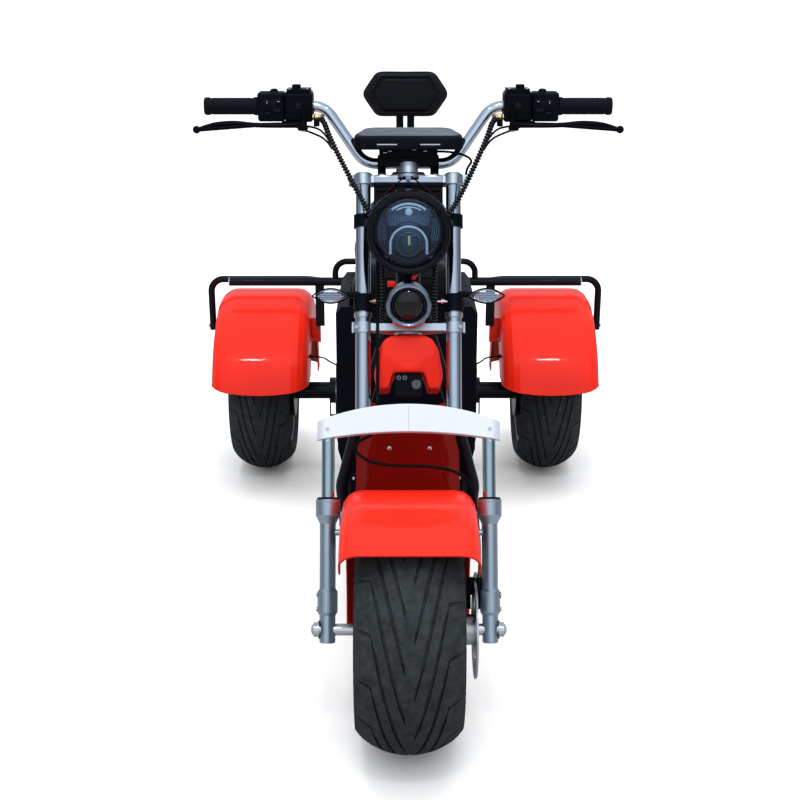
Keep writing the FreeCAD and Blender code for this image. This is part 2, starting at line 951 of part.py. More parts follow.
def front_brake_disc():
    owner = body("front_brake_disc")
    bore = s.axle_radius + s.part_gap
    face = s.disc_set + s.disc_half
    drawing = outline(sketch(owner, "XY_Plane"), [
        (s.front_hub_half, bore),
        (s.front_hub_half, s.disc_carrier_radius),
        (face - s.disc_half * 2, s.disc_carrier_radius),
        (face - s.disc_half * 2, s.disc_radius),
        (face, s.disc_radius),
        (face, bore),
    ])
    turned(owner, drawing, "H_Axis")
    slot = circle(sketch(owner, "YZ_Plane"), 0, s.disc_hole_ring, s.disc_hole_radius)
    hole = feature(owner, "Pocket", slot, Type="ThroughAll", Midplane=True)
    pattern = owner.newObject("PartDesign::PolarPattern", "disc_holes")
    pattern.Originals = [hole]
    pattern.Axis = (slot, ["N_Axis"])
    pattern.Occurrences = int(s.disc_holes.value)
    owner.Tip = pattern
    place(owner, 0, front_axle_y, tyre_radius)
    keep(owner, "front_brake_disc")


def front_axle():
    """The axle bolt with its spacers and end nuts, turned as one bar."""
    owner = body("front_axle")
    hub_end = s.front_hub_half + s.part_gap
    disc_face = s.disc_set + s.disc_half + s.part_gap
    leg_in = s.leg_half - s.leg_radius - s.part_gap
    leg_out = s.leg_half + s.leg_radius + s.part_gap
    drawing = outline(sketch(owner, "XY_Plane"), [
        (-s.axle_nut_half, 0),
        (-s.axle_nut_half, s.axle_nut_radius),
        (-leg_out, s.axle_nut_radius),
        (-leg_out, s.axle_radius),
        (-leg_in, s.axle_radius),
        (-leg_in, s.spacer_radius),
        (-hub_end, s.spacer_radius),
        (-hub_end, s.axle_radius),
        (disc_face, s.axle_radius),
        (disc_face, s.spacer_radius),
        (leg_in, s.spacer_radius),
        (leg_in, s.axle_radius),
        (leg_out, s.axle_radius),
        (leg_out, s.axle_nut_radius),
        (s.axle_nut_half, s.axle_nut_radius),
        (s.axle_nut_half, 0),
    ])
    turned(owner, drawing, "H_Axis")
    place(owner, 0, front_axle_y, tyre_radius)
    keep(owner, "front_axle")


# Fork: each piece is drawn upright with the front axle at its origin, then raked.

def fork_legs():
    owner = body("fork_leg")
    step = s.leg_taper
    drawing = outline(sketch(owner, "XZ_Plane"), [
        (0, s.leg_foot),
        (s.leg_radius, s.leg_foot),
        (s.leg_radius, s.leg_flange_low),
        (s.leg_flange_radius, s.leg_flange_low + step),
        (s.leg_flange_radius, s.leg_flange_high - step),
        (s.leg_radius, s.leg_flange_high),
        (s.leg_radius, s.leg_neck),
        (s.leg_collar_radius, s.leg_collar_low),
        (s.leg_collar_radius, s.leg_top),
        (0, s.leg_top),
    ])
    turned(owner, drawing, "V_Axis")
    bore = circle(sketch(owner, "YZ_Plane"), 0, 0, s.axle_radius + s.seat_gap)
    feature(owner, "Pocket", bore, Type="ThroughAll", Midplane=True)
    stub_height = front_fender_radius - s.fender_stub_drop
    stub = circle(sketch(owner, "YZ_Plane"), 0, stub_height, s.fender_stub_radius)
    reach = s.leg_half - s.front_fender_half - s.part_gap
    feature(owner, "Pad", stub, Length=reach, Reversed=True)
    half = s.fender_plate_half
    plate_low = front_fender_radius - s.fender_plate_low_drop
    plate_high = front_fender_radius - s.fender_plate_drop
    plate = outline(sketch(owner, "YZ_Plane", -reach), [
        (-half, plate_low),
        (half, plate_low),
        (half, plate_high),
        (-half, plate_high),
    ])
    feature(owner, "Pad", plate, Length=s.fender_plate_thick)
    on_fork(owner, s.leg_half)
    mirrored("fork_legs", owner)


def stanchions():
    top = s.bridge_end_low + s.bridge_socket
    bar = cylinder("stanchion", s.stanchion_radius, top - s.leg_top)
    on_fork(bar, s.leg_half, 0, s.leg_top)
    mirrored("stanchions", bar)


def fork_bridge():
    owner = body("bridge_blank")
    drawing = outline(sketch(owner, "XZ_Plane"), [
        (-s.bridge_half_width, s.bridge_end_low, s.bridge_low - s.bridge_end_low),
        (s.bridge_half_width, s.bridge_end_low),
        (s.bridge_half_width, s.bridge_end_high, s.bridge_end_high - s.bridge_high),
        (-s.bridge_half_width, s.bridge_end_high),
    ])
    plate = feature(owner, "Pad", drawing, Length=s.bridge_depth, Midplane=True)
    ends = edges_along(plate.Shape, Z)
    rounded(owner, plate, ends, s.bridge_end_round)
    on_fork(owner)
    tools = []
    depth = s.bridge_socket + s.seat_gap
    for sign in (-1, 1):
        socket = cylinder("stanchion_socket", s.stanchion_radius + s.seat_gap, depth + s.bridge_arch)
        on_fork(socket, s.leg_half * sign, 0, s.bridge_end_low - s.bridge_arch)
        tools.append(socket)
        seat = cylinder("tube_socket", s.fork_tube_radius + s.seat_gap, s.bridge_high - s.fork_tube_foot)
        on_fork(seat, s.fork_half * sign, 0, s.fork_tube_foot)
        tools.append(seat)
    keep(cut("fork_bridge", owner, *tools), "fork_bridge")


def fork_tubes():
    bar = cylinder("fork_tube", s.fork_tube_radius, s.fork_tube_top - s.fork_tube_foot)
    on_fork(bar, s.fork_half, 0, s.fork_tube_foot)
    mirrored("fork_tubes", bar)


def yoke(label, low, high, boss, lug):
    """A triple clamp: two rings for the fork tubes and a boss for the steering stem. Its lugs
    reach this far out of the rings."""
    owner = body(label + "_blank")
    half = s.yoke_bar_half
    bar_low = (low + high) / 2 - s.yoke_bar_height / 2
    web = outline(sketch(owner, "XY_Plane", bar_low), [
        (-s.fork_half, -half),
        (s.fork_half, -half),
        (s.fork_half, half),
        (boss, s.steer_offset + half),
        (-boss, s.steer_offset + half),
        (-s.fork_half, half),
    ])
    feature(owner, "Pad", web, Length=s.yoke_bar_height)
    for side in (-1, 1):
        near = s.fork_half * side
        far = (s.fork_half + s.yoke_ring_radius + lug) * side
        ear = outline(sketch(owner, "XY_Plane", low), [
            (near, -s.yoke_lug_half),
            (far, -s.yoke_lug_half),
            (far, s.yoke_lug_half),
            (near, s.yoke_lug_half),
        ])
        feature(owner, "Pad", ear, Length=high - low)
    for x, y, radius in (
        (-s.fork_half, 0, s.yoke_ring_radius),
        (s.fork_half, 0, s.yoke_ring_radius),
        (0, s.steer_offset, boss),
    ):
        ring = circle(sketch(owner, "XY_Plane", low), x, y, radius)
        feature(owner, "Pad", ring, Length=high - low)
    for x, y, radius in (
        (-s.fork_half, 0, s.fork_tube_radius),
        (s.fork_half, 0, s.fork_tube_radius),
        (0, s.steer_offset, s.stem_radius),
    ):
        hole = circle(sketch(owner, "XY_Plane"), x, y, radius + s.seat_gap)
        feature(owner, "Pocket", hole, Type="ThroughAll", Midplane=True)
    on_fork(owner)
    return keep(owner, label)


def web_top(low, high):
    return (low + high) / 2 + s.yoke_bar_height / 2


def steering_stem():
    owner = body("steering_stem")
    drawing = outline(sketch(owner, "XZ_Plane"), [
        (0, s.lower_yoke_low),
        (s.stem_radius, s.lower_yoke_low),
        (s.stem_radius, s.upper_yoke_high),
        (s.stem_cap_radius, s.upper_yoke_high),
        (s.stem_cap_radius, s.stem_cap_top),
        (0, s.stem_cap_top),
    ])
    turned(owner, drawing, "V_Axis")
    on_fork(owner, 0, s.steer_offset)
    keep(owner, "steering_stem")


def head_tube():
    owner = body("head_tube")
    low = s.lower_yoke_high + s.bearing_gap
    high = s.upper_yoke_low - s.bearing_gap
    step = s.head_cup_radius - s.head_tube_radius
    drawing = outline(sketch(owner, "XZ_Plane"), [
        (s.head_bore, low),
        (s.head_cup_radius, low),
        (s.head_cup_radius, low + s.head_cup_height),
        (s.head_tube_radius, low + s.head_cup_height + step),
        (s.head_tube_radius, high - s.head_cup_height - step),
        (s.head_cup_radius, high - s.head_cup_height),
        (s.head_cup_radius, high),
        (s.head_bore, high),
    ])
    turned(owner, drawing, "V_Axis")
    on_fork(owner, 0, s.steer_offset)
    keep(owner, "head_tube")


# Handlebar and what sits on it, in the vehicle's own directions.

def bar_points(side):
    return [
        at(0, bar_set, bar_height),
        at(s.bar_flat_half * side, bar_set, bar_height),
        at(s.bar_rise_half * side, grip_set, grip_height),
        at(s.bar_end_half * side, grip_set, grip_height),
    ]


def handlebar():
    points = bar_points(-1)[:0:-1] + bar_points(1)[1:]
    shape = tube(points, s.bar_radius, s.bar_bend)
    for end, side in ((points[0], -1), (points[-1], 1)):
        shape = shape.cut(rod(end, end - X * float(s.bar_bore_depth) * side, s.bar_bore))
    keep(solid("handlebar", shape), "handlebar")


def risers():
    """Two clamps that stand on the upper yoke and hold the handlebar."""
    parts = []
    for side in (-1, 1):
        start = at(s.riser_half * side - s.riser_width / 2, bar_set, bar_height)
        stop = at(s.riser_half * side + s.riser_width / 2, bar_set, bar_height)
        block = rod(start, stop, s.riser_radius)
        foot_along = web_top(s.upper_yoke_low, s.upper_yoke_high) + s.part_gap
        post = Part.makeBox(
            float(s.riser_width), float(s.riser_radius), float(s.riser_post),
            Vector(float(s.riser_half * side - s.riser_width / 2), float(s.riser_back), float(foot_along)))
        post.Placement = fork_frame().multiply(post.Placement)
        block = block.fuse(post)
        parts.append(block.cut(rod(start - X, stop + X, s.bar_radius + s.seat_gap)))
    keep(solid("handlebar_risers", Part.makeCompound(parts)), "handlebar_risers")


def along_bar(inner, outer, radius, bore):
    start = at(inner, grip_set, grip_height)
    stop = at(outer, grip_set, grip_height)
    return rod(start, stop, radius).cut(rod(start, stop, bore))


def grips():
    bore = s.bar_radius + s.seat_gap
    grip = along_bar(s.grip_inner, s.bar_end_half, s.grip_radius, bore)
    pair("grips", grip)


def bar_block(inner, outer, low, high, front, back):
    start = at(inner, grip_set - front, grip_height - low)
    shape = Part.makeBox(float(outer - inner), float(front + back), float(low + high), start)
    shape = shape.makeFillet(float(s.pod_round), shape.Edges)
    left = at(inner - s.overrun, grip_set, grip_height)
    right = at(outer + s.overrun, grip_set, grip_height)
    return shape.cut(rod(left, right, s.bar_radius + s.seat_gap))


def controls():
    half = s.reservoir_height / 2
    pod = bar_block(s.switch_inner + s.pod_gap, s.grip_inner - s.pod_gap, half, half,
                    s.reservoir_depth / 2, s.reservoir_depth / 2)
    pair("switch_pods", pod)
    tank = bar_block(s.reservoir_inner, s.switch_inner, half, half, s.reservoir_front,
                     s.reservoir_depth / 2)
    inset = float(s.cap_inset)
    front = s.reservoir_front - s.cap_inset
    cap = Part.makeBox(
        float(s.switch_inner - s.reservoir_inner) - inset * 2,
        float(front + s.reservoir_depth / 2) - inset,
        float(s.cap_height + s.overrun),
        at(s.reservoir_inner + s.cap_inset, grip_set - front, grip_height + half - s.overrun))
    tank = tank.fuse(cap)
    pair("brake_reservoirs", tank)
    height = grip_height - s.lever_drop
    front = grip_set - s.lever_reach
    points = [
        at(s.reservoir_inner + s.lever_pivot_in, front + s.lever_pivot_back, height),
        at(s.grip_inner, front, height),
        at(s.lever_tip_half, front, height - s.lever_tip_drop),
    ]
    lever = tube(points, s.lever_radius, s.lever_reach)
    lever = lever.fuse(Part.makeSphere(float(s.lever_ball), points[-1]))
    pivot = points[0]
    lug = Part.makeCylinder(float(s.lever_ball), float(s.lever_drop), pivot - Z * float(s.lever_radius))
    lever = lever.fuse(lug)
    lever = lever.cut(tank)
    pair("brake_levers", lever)


def display():
    owner = body("display")
    drawing = outline(sketch(owner, "XY_Plane"), [
        (-s.display_half, 0),
        (s.display_half, 0),
        (s.display_half, s.display_shoulder),
        (s.display_tail_half, s.display_shoulder + s.display_round),
        (s.display_tail_half, s.display_length),
        (-s.display_tail_half, s.display_length),
        (-s.display_tail_half, s.display_shoulder + s.display_round),
        (-s.display_half, s.display_shoulder),
    ])
    slab = feature(owner, "Pad", drawing, Length=s.display_tray)
    front = s.display_round.value
    names = edges_along(slab.Shape, Z, lambda centre: centre.y < front)
    rounded(owner, slab, names, s.display_round)
    edge = s.display_lid_inset
    lid = outline(sketch(owner, "XY_Plane", s.display_tray), [
        (-s.display_half + s.display_round, edge),
        (s.display_half - s.display_round, edge),
        (s.display_half - edge, s.display_round + edge),
        (s.display_half - edge, s.display_shoulder),
        (s.display_tail_half - edge, s.display_shoulder + s.display_round),
        (s.display_tail_half - edge, s.display_length - edge),
        (-s.display_tail_half + edge, s.display_length - edge),
        (-s.display_tail_half + edge, s.display_shoulder + s.display_round),
        (-s.display_half + edge, s.display_shoulder),
        (-s.display_half + edge, s.display_round + edge),
    ])
    feature(owner, "Pad", lid, Length=s.display_height - s.display_tray)
    place(owner, 0, front_axle_y + s.display_front_set, display_low)
    keep(owner, "display")
    foot_low = bar_height + s.bar_radius
    start = at(-s.display_foot_half, bar_set - s.display_foot_length / 2, foot_low - s.bar_radius)
    foot = Part.makeBox(float(s.display_foot_half * 2), float(s.display_foot_length),
                        float(display_low - foot_low + s.bar_radius), start)
    left = at(-s.bar_rise_half, bar_set, bar_height)
    right = at(s.bar_rise_half, bar_set, bar_height)
    foot = foot.cut(rod(left, right, s.bar_radius + s.seat_gap))
    for side in (-1, 1):
        start = at(s.riser_half * side - s.riser_width / 2 - s.overrun, bar_set, bar_height)
        stop = at(s.riser_half * side + s.riser_width / 2 + s.overrun, bar_set, bar_height)
        foot = foot.cut(rod(start, stop, s.riser_radius + s.part_gap))
    keep(solid("display_foot", foot), "display_foot")


# Lamps look forward along -Y: a profile is drawn as (radius, depth) and turned about Y.

def headlight():
    owner = body("headlight_shell")
    wall = s.lamp_wall
    inside = s.headlight_lens_radius + s.part_gap
    drawing = outline(sketch(owner, "XY_Plane"), [
        (inside, 0),
        (s.headlight_radius, 0),
        (s.headlight_radius, s.headlight_rim),
        (s.headlight_bowl_radius, s.headlight_rim + wall),
        (s.headlight_back_radius, s.headlight_depth),
        (0, s.headlight_depth),
        (0, s.headlight_depth - wall),
        (s.headlight_back_radius - wall / 2, s.headlight_depth - wall),
        (s.headlight_bowl_radius - wall, s.headlight_rim + wall),
        (inside, s.headlight_rim),
    ])
    turned(owner, drawing, "V_Axis")
    place(owner, 0, front_axle_y + s.headlight_set, headlight_height)
    keep(owner, "headlight_shell")
    lens = body("headlight_lens")
    shape = outline(sketch(lens, "XY_Plane"), [
        (0, -s.lens_crown / 2),
        (s.headlight_lens_radius, s.lens_crown),
        (s.headlight_lens_radius, s.lens_crown + s.lens_thick),
        (0, s.lens_crown + s.lens_thick),
    ])
    turned(lens, shape, "V_Axis")
    place(lens, 0, front_axle_y + s.headlight_set, headlight_height)
    keep(lens, "headlight_lens")


def lamp_arms():
    """Flat arms that run forward from rings on the fork tubes to the headlight's sides."""
    height = s.lamp_arm_height
    along = (headlight_height - tyre_radius) / cosine(s.rake)
    ring, room = fork_tube_ring(along - height / 2, height)
    tube_set = along * sine(s.rake)
    reach = tube_set - s.headlight_set - s.lamp_arm_thick
    near = s.headlight_radius + s.part_gap
    start = at(near, s.headlight_set + s.lamp_arm_thick, headlight_height - height / 2)
    arm = Part.makeBox(float(s.lamp_arm_thick), float(reach), float(height), start)
    pair("lamp_arms", largest(ring.fuse(arm).cut(room)))


def spot_lamp():
    owner = body("spot_lamp")
    wall = s.lamp_wall
    drawing = outline(sketch(owner, "XY_Plane"), [
        (0, wall / 2),
        (s.spot_lens_radius, wall),
        (s.spot_lens_radius + wall, 0),
        (s.spot_radius - wall, 0),
        (s.spot_radius, wall),
        (s.spot_radius, s.spot_rim),
        (s.spot_cup_radius, s.spot_rim + wall),
        (s.spot_cup_radius, s.spot_depth),
        (0, s.spot_depth),
    ])
    turned(owner, drawing, "V_Axis")
    place(owner, 0, front_axle_y + s.spot_set, spot_height)
    doc.recompute()
    return keep(owner, "spot_lamp")


def spot_bracket(lamp):
    """A tongue from the lower yoke that carries the spot lamp."""
    front = s.spot_set + s.spot_rim + s.lamp_wall * 2
    along = web_top(s.lower_yoke_low, s.lower_yoke_high) + s.part_gap
    frame = fork_frame()
    tongue = Part.makeBox(
        float(s.lamp_arm_height), float(s.bracket_tongue), float(s.lamp_arm_thick),
        Vector(-float(s.lamp_arm_height) / 2, -float(s.bracket_tongue), float(along)))
    tongue.Placement = frame.multiply(tongue.Placement)
    low = spot_height - s.spot_cup_radius - s.bracket_post
    start = at(-s.lamp_arm_height / 2, front, low)
    post = Part.makeBox(float(s.lamp_arm_height), float(s.bracket_post_length),
                        float(s.bracket_post * 2), start)
    keep(solid("spot_bracket", largest(tongue.fuse(post).cut(lamp.Shape))), "spot_bracket")


def lamp_cover():
    """A flat cover under the upper yoke, behind the headlight."""
    top = (s.upper_yoke_low + s.upper_yoke_high) / 2 - s.yoke_bar_height / 2 - s.part_gap
    start = Vector(-float(s.lamp_cover_half), -float(s.yoke_bar_half), float(top - s.lamp_cover_height))
    plate = Part.makeBox(float(s.lamp_cover_half * 2), float(s.lamp_cover_thick),
                         float(s.lamp_cover_height), start)
    keep(solid("lamp_cover", plate, fork_frame()), "lamp_cover")


def on_fork_line(points):
    frame = fork_frame()
    return [frame.multVec(Vector(float(x), float(back), float(along))) for x, back, along in points]


def display_cable():
    """The cable from the display's foot round the right fork tube's head, to the yoke's lug."""
    depth = bar_set - s.display_cable_front
    height = display_low - s.display_cable_drop
    start = s.display_foot_half + s.part_gap
    rest = s.upper_yoke_high + s.part_gap
    line = [at(start, depth, height), at(start + s.display_cable_run, depth, height)]
    line += on_fork_line([
        (s.display_cable_half, -s.yoke_lug_half, rest + s.display_cable_rise),
        (s.display_cable_end, 0, rest + s.display_cable_foot),
        (s.display_cable_end, 0, rest),
    ])
    return tube(line, s.cable_radius, s.cable_bend)


def fender_cables():
    """Two cables from the back of the housing to the inner sides of the rear fenders."""
    back = housing_back_set + s.part_gap
    end = s.rear_fender_middle - s.rear_fender_half - s.part_gap
    line = [
        at(s.fender_cable_half, back, fender_cable_height),
        at(s.fender_cable_half, back + s.fender_cable_run, fender_cable_height),
        at(s.fender_cable_out, back + s.fender_cable_out_run, fender_cable_height),
        at(end - s.fender_cable_run, back + s.fender_cable_end_run, fender_cable_height),
        at(end, back + s.fender_cable_end_run, fender_cable_height),
    ]
    pair("fender_cables", tube(line, s.cable_radius, s.cable_bend))


def cords():
    """The sleeved control cables of both bar ends and the front brake's hose."""
    out = s.reservoir_inner - s.part_gap
    near = s.reservoir_inner - s.sleeve_start
    front = -s.sleeve_front
    low_front = -s.sleeve_low_front
    foot = web_top(s.lower_yoke_low, s.lower_yoke_high) + s.part_gap
    turn = foot + s.sleeve_foot_rise
    sleeves = []
    for side, elbow in ((-1, s.left_sleeve_elbow), (1, s.right_sleeve_elbow)):
        depth = grip_set - s.sleeve_set
        height = grip_height - s.sleeve_drop
        line = [at(out * side, depth, height), at(near * side, depth, height)]
        line += on_fork_line([
            (s.sleeve_half * side, front, s.sleeve_shoulder_along),
            (elbow * side, front, s.sleeve_elbow_along),
            (s.sleeve_inner_half * side, front, s.sleeve_inner_along),
            (s.sleeve_low_half * side, low_front, s.sleeve_low_along),
            (s.sleeve_low_half * side, low_front, turn + s.sleeve_low_front),
            (s.sleeve_low_half * side, -s.sleeve_foot_front, turn),
            (s.sleeve_low_half * side, -s.sleeve_foot_front, foot),
        ])
        sleeves.append(tube(line, s.sleeve_radius, s.sleeve_bend))
    sleeves.append(display_cable())
    keep(solid("conduits", Part.makeCompound(sleeves)), "conduits")
    top = (s.upper_yoke_low + s.upper_yoke_high) / 2 - s.yoke_bar_height / 2 - s.part_gap
    start = top - s.lamp_cover_height - s.part_gap
    middle = -s.yoke_bar_half + s.lamp_cover_thick / 2
    high = s.bridge_high + s.hose_over_bridge
    low = s.bridge_low - s.hose_under_bridge
    behind = s.hose_back
    end = s.caliper_low + s.caliper_length + s.part_gap
    line = on_fork_line([
        (-s.hose_half, middle, start),
        (-s.hose_half, middle, start - s.hose_step),
        (-s.hose_half, -s.hose_front, start - s.hose_step * 3),
        (-s.hose_half, -s.hose_front, high),
        (-s.hose_half, behind, high),
        (-s.hose_half, behind, s.bridge_low),
        (-s.hose_out_half, behind, s.bridge_end_low),
        (-s.hose_out_half, behind, low + s.hose_step),
        (-s.hose_half, behind, low),
        (s.hose_turn_half, behind, low),
        (s.hose_leg_half, behind, low - s.hose_step * 2),
        (s.hose_leg_half, behind, end),
    ])
    keep(solid("brake_hose", tube(line, s.hose_radius, s.hose_bend)), "brake_hose")


def signals():
    """Pointed lamps on short stalks beside the fork tubes, a clear half and a dark half."""
    middle = (s.signal_outer - s.signal_inner) / 2
    halves = []
    for label, turn in (("signal_lens", half_turn), ("signal_body", 0)):
        owner = body(label)
        drawing = outline(sketch(owner, "XY_Plane"),
                          crown(middle, sized(0), s.signal_radius, int(s.signal_steps.value)))
        turned(owner, drawing, "H_Axis", half_turn)
        place(owner, (s.signal_inner + s.signal_outer) / 2, front_axle_y + s.signal_set, signal_height,
              X, turn + quarter_turn)
        halves.append(owner)
    doc.recompute()
    start = at(s.fork_half, s.signal_set + s.signal_radius, signal_height)
    stop = at(s.signal_inner + s.signal_radius * 2, s.signal_set + s.signal_radius / 2, signal_height)
    mirrored("signal_lenses", halves[0])
    ring, room = fork_tube_ring(s.bar_ring_low, s.bar_ring_high - s.bar_ring_low)
    stalk = rod(start, stop, s.signal_stalk_radius)
    pair("signal_bodies", largest(halves[1].Shape.fuse(stalk).fuse(ring).cut(room).cut(halves[0].Shape)))


# Fenders: a channel section drawn as (across, radius) and turned about the axle.

def quarter(x, y, radius, side):
    """Points round a rounded corner, from its top down to its outer side."""
    points = []
    steps = int(s.fender_corner_steps.value)
    for step in range(steps + 1):
        turn = math.radians(quarter_turn * step / steps)
        points.append((x + radius * (side * math.sin(turn)), y + radius * math.cos(turn)))
    return points


def fender(label, radius, half, corner, skirt, front_angle, back_angle):
    owner = body(label)
    wall = s.fender_wall
    foot = radius - skirt - corner
    flat = half - corner
    drawing = outline(
        sketch(owner, "XY_Plane"),
        [(-half, foot)] + quarter(-flat, radius - corner, corner, -1)[::-1]
        + quarter(flat, radius - corner, corner, 1)
        + [(half, foot), (half - wall, foot)] + quarter(flat, radius - corner, corner - wall, 1)[::-1]
        + quarter(-flat, radius - corner, corner - wall, -1) + [(-half + wall, foot)])
    turned(owner, drawing, "H_Axis", half_turn - front_angle - back_angle)
    return owner


def front_fender():
    owner = fender("front_fender", front_fender_radius, s.front_fender_half, s.front_fender_round,
                   s.front_fender_skirt, s.front_fender_front_angle, s.front_fender_back_angle)
    place(owner, 0, front_axle_y, tyre_radius, X, s.front_fender_back_angle)
    keep(owner, "front_fender")


def rear_fenders():
    """Covers over the rear wheels, with a bowed front edge and a flap towards the frame."""
    half = s.rear_fender_half
    owner = fender("rear_fender_left", rear_fender_radius, half, s.rear_fender_round,
                   s.rear_fender_skirt, s.rear_fender_front_angle, sized(0))
    wide = half + s.overrun
    low = rear_fender_radius * sine(s.rear_fender_front_angle)
    high = low + s.rear_fender_edge_rise
    edge = outline(sketch(owner, "XZ_Plane"), [
        (-wide, -s.overrun),
        (wide, -s.overrun),
        (wide, high, s.rear_fender_edge_rise),
        (-wide, high),
    ])
    feature(owner, "Pocket", edge, Length=rear_fender_radius, Reversed=True)
    front = cross_bar_set + s.bracket_thick + s.part_gap - s.wheelbase
    flap = outline(sketch(owner, "YZ_Plane", half - s.fender_wall / 2), [
        (front, flap_low - tyre_radius),
        (front + s.fender_wall, flap_low - tyre_radius),
        (front + s.fender_wall, flap_high - tyre_radius),
        (front, flap_high - tyre_radius),
    ])
    feature(owner, "Pad", flap, Length=s.flap_reach)
    place(owner, -s.rear_fender_middle, rear_axle_y, tyre_radius)
    mirrored("rear_fenders", owner)


def front_caliper():
    """The brake caliper, seated behind the right fork leg and astride the disc's edge."""
    frame = fork_frame()
    start = Vector(float(s.disc_set - s.caliper_width / 2), float(s.caliper_back), float(s.caliper_low))
    block = Part.makeBox(float(s.caliper_width + s.caliper_lug), float(s.caliper_depth),
                         float(s.caliper_length), start)
    block = block.makeFillet(float(s.pod_round), block.Edges)
    leg = Part.makeCylinder(float(s.leg_flange_radius + s.seat_gap), float(s.leg_top),
                            Vector(float(s.leg_half), 0, 0))
    near = Vector(float(s.disc_set - s.disc_half - s.disc_gap), 0, 0)
    slot = Part.makeCylinder(float(s.disc_radius + s.disc_gap), float(s.disc_half + s.disc_gap) * 2, near, X)
    keep(solid("front_caliper", block.cut(leg).cut(slot), frame), "front_caliper")


# Frame

def frame_side(sign):
    """One side of the main loop: neck, shin, knee, floor and up behind the housing."""
    return [
        at(s.neck_half * sign, s.neck_set, neck_height),
        at(s.shin_half * sign, s.shin_set, shin_height),
        at(s.knee_half * sign, s.knee_set, knee_height),
        at(s.floor_half * sign, s.floor_set, floor_height),
        at(s.floor_half * sign, floor_back_set, floor_height),
        at(s.seat_rail_half * sign, seat_post_set, seat_rail_height),
    ]


def main_frame(rails):
    shape = None
    wide = None
    for sign in (-1, 1):
        run = tube(frame_side(sign), s.frame_tube_radius, s.frame_bend)
        room = tube(frame_side(sign), s.frame_tube_radius + s.part_gap, s.frame_bend)
        shape = run if shape is None else shape.fuse(run)
        wide = room if wide is None else wide.fuse(room)
    for back in (s.floor_set + s.cross_tube_inset, floor_middle_set, floor_back_set):
        start = at(-s.floor_half, back, floor_height)
        stop = at(s.floor_half, back, floor_height)
        shape = shape.fuse(rod(start, stop, s.rail_tube_radius))
    pivot_half = s.arm_half + s.arm_eye_half
    start = at(-pivot_half, pivot_set, pivot_height)
    stop = at(pivot_half, pivot_set, pivot_height)
    shape = shape.fuse(rod(start, stop, s.pivot_radius))
    frame = fork_frame()
    low = s.lower_yoke_high + s.bearing_gap
    high = s.upper_yoke_low - s.bearing_gap
    head = Part.makeCylinder(float(s.head_tube_radius + s.seat_gap), float(high - low),
                             Vector(0, float(s.steer_offset), float(low)))
    head.Placement = frame.multiply(head.Placement)
    shape = shape.cut(head).cut(rails)
    keep(solid("main_frame", largest(shape)), "main_frame")
    return wide


def seat_frame():
    shape = None
    for sign in (-1, 1):
        start = at(s.seat_rail_half * sign, seat_rail_front, seat_rail_height)
        stop = at(s.seat_rail_half * sign, seat_rail_back, seat_rail_height)
        run = rod(start, stop, s.rail_tube_radius)
        shape = run if shape is None else shape.fuse(run)
    for back in (seat_rail_front + s.rail_tube_radius, seat_rail_back - s.rail_tube_radius):
        start = at(-s.seat_rail_half, back, seat_rail_height)
        stop = at(s.seat_rail_half, back, seat_rail_height)
        shape = shape.fuse(rod(start, stop, s.rail_tube_radius))
    keep(solid("seat_rails", shape), "seat_rails")
    return shape


def bracket_plate():
    """A flat plate that hangs from the cross bar and holds the fender's flap."""
    low = at(s.bracket_half - s.bracket_width / 2, cross_bar_set, bracket_low)
    return Part.makeBox(float(s.bracket_width), float(s.bracket_thick),
                        float(cross_bar_height - bracket_low), low)


def rear_bars():
    left = at(-s.cross_bar_half, cross_bar_set, cross_bar_height)
    right = at(s.cross_bar_half, cross_bar_set, cross_bar_height)
    bar = rod(left, right, s.rail_tube_radius)
    inward = X * float(s.cross_bar_bore_depth)
    sockets = rod(left, left + inward, s.cross_bar_bore).fuse(rod(right, right - inward, s.cross_bar_bore))
    hoop = tube([
        at(-s.hoop_half, cross_bar_set, cross_bar_height),
        at(-s.hoop_half, cross_bar_set, hoop_height),
        at(s.hoop_half, cross_bar_set, hoop_height),
        at(s.hoop_half, cross_bar_set, cross_bar_height),
    ], s.hoop_radius, s.hoop_bend)
    plate = bracket_plate()
    shape = bar.fuse(hoop).fuse(plate).fuse(mirror(plate)).cut(sockets)
    keep(solid("cross_bar", shape), "cross_bar")
    rail = tube([
        at(s.fender_rail_outer, s.wheelbase, fender_rail_low),
        at(s.fender_rail_outer, s.wheelbase, fender_rail_height),
        at(s.fender_rail_inner, s.wheelbase, fender_rail_height),
        at(s.fender_rail_inner - s.fender_rail_bend, cross_bar_set, cross_bar_height),
    ], s.fender_rail_radius, s.fender_rail_turn)
    rail = rail.cut(bar)
    pair("fender_rails", rail)


# Red covers in front of the frame

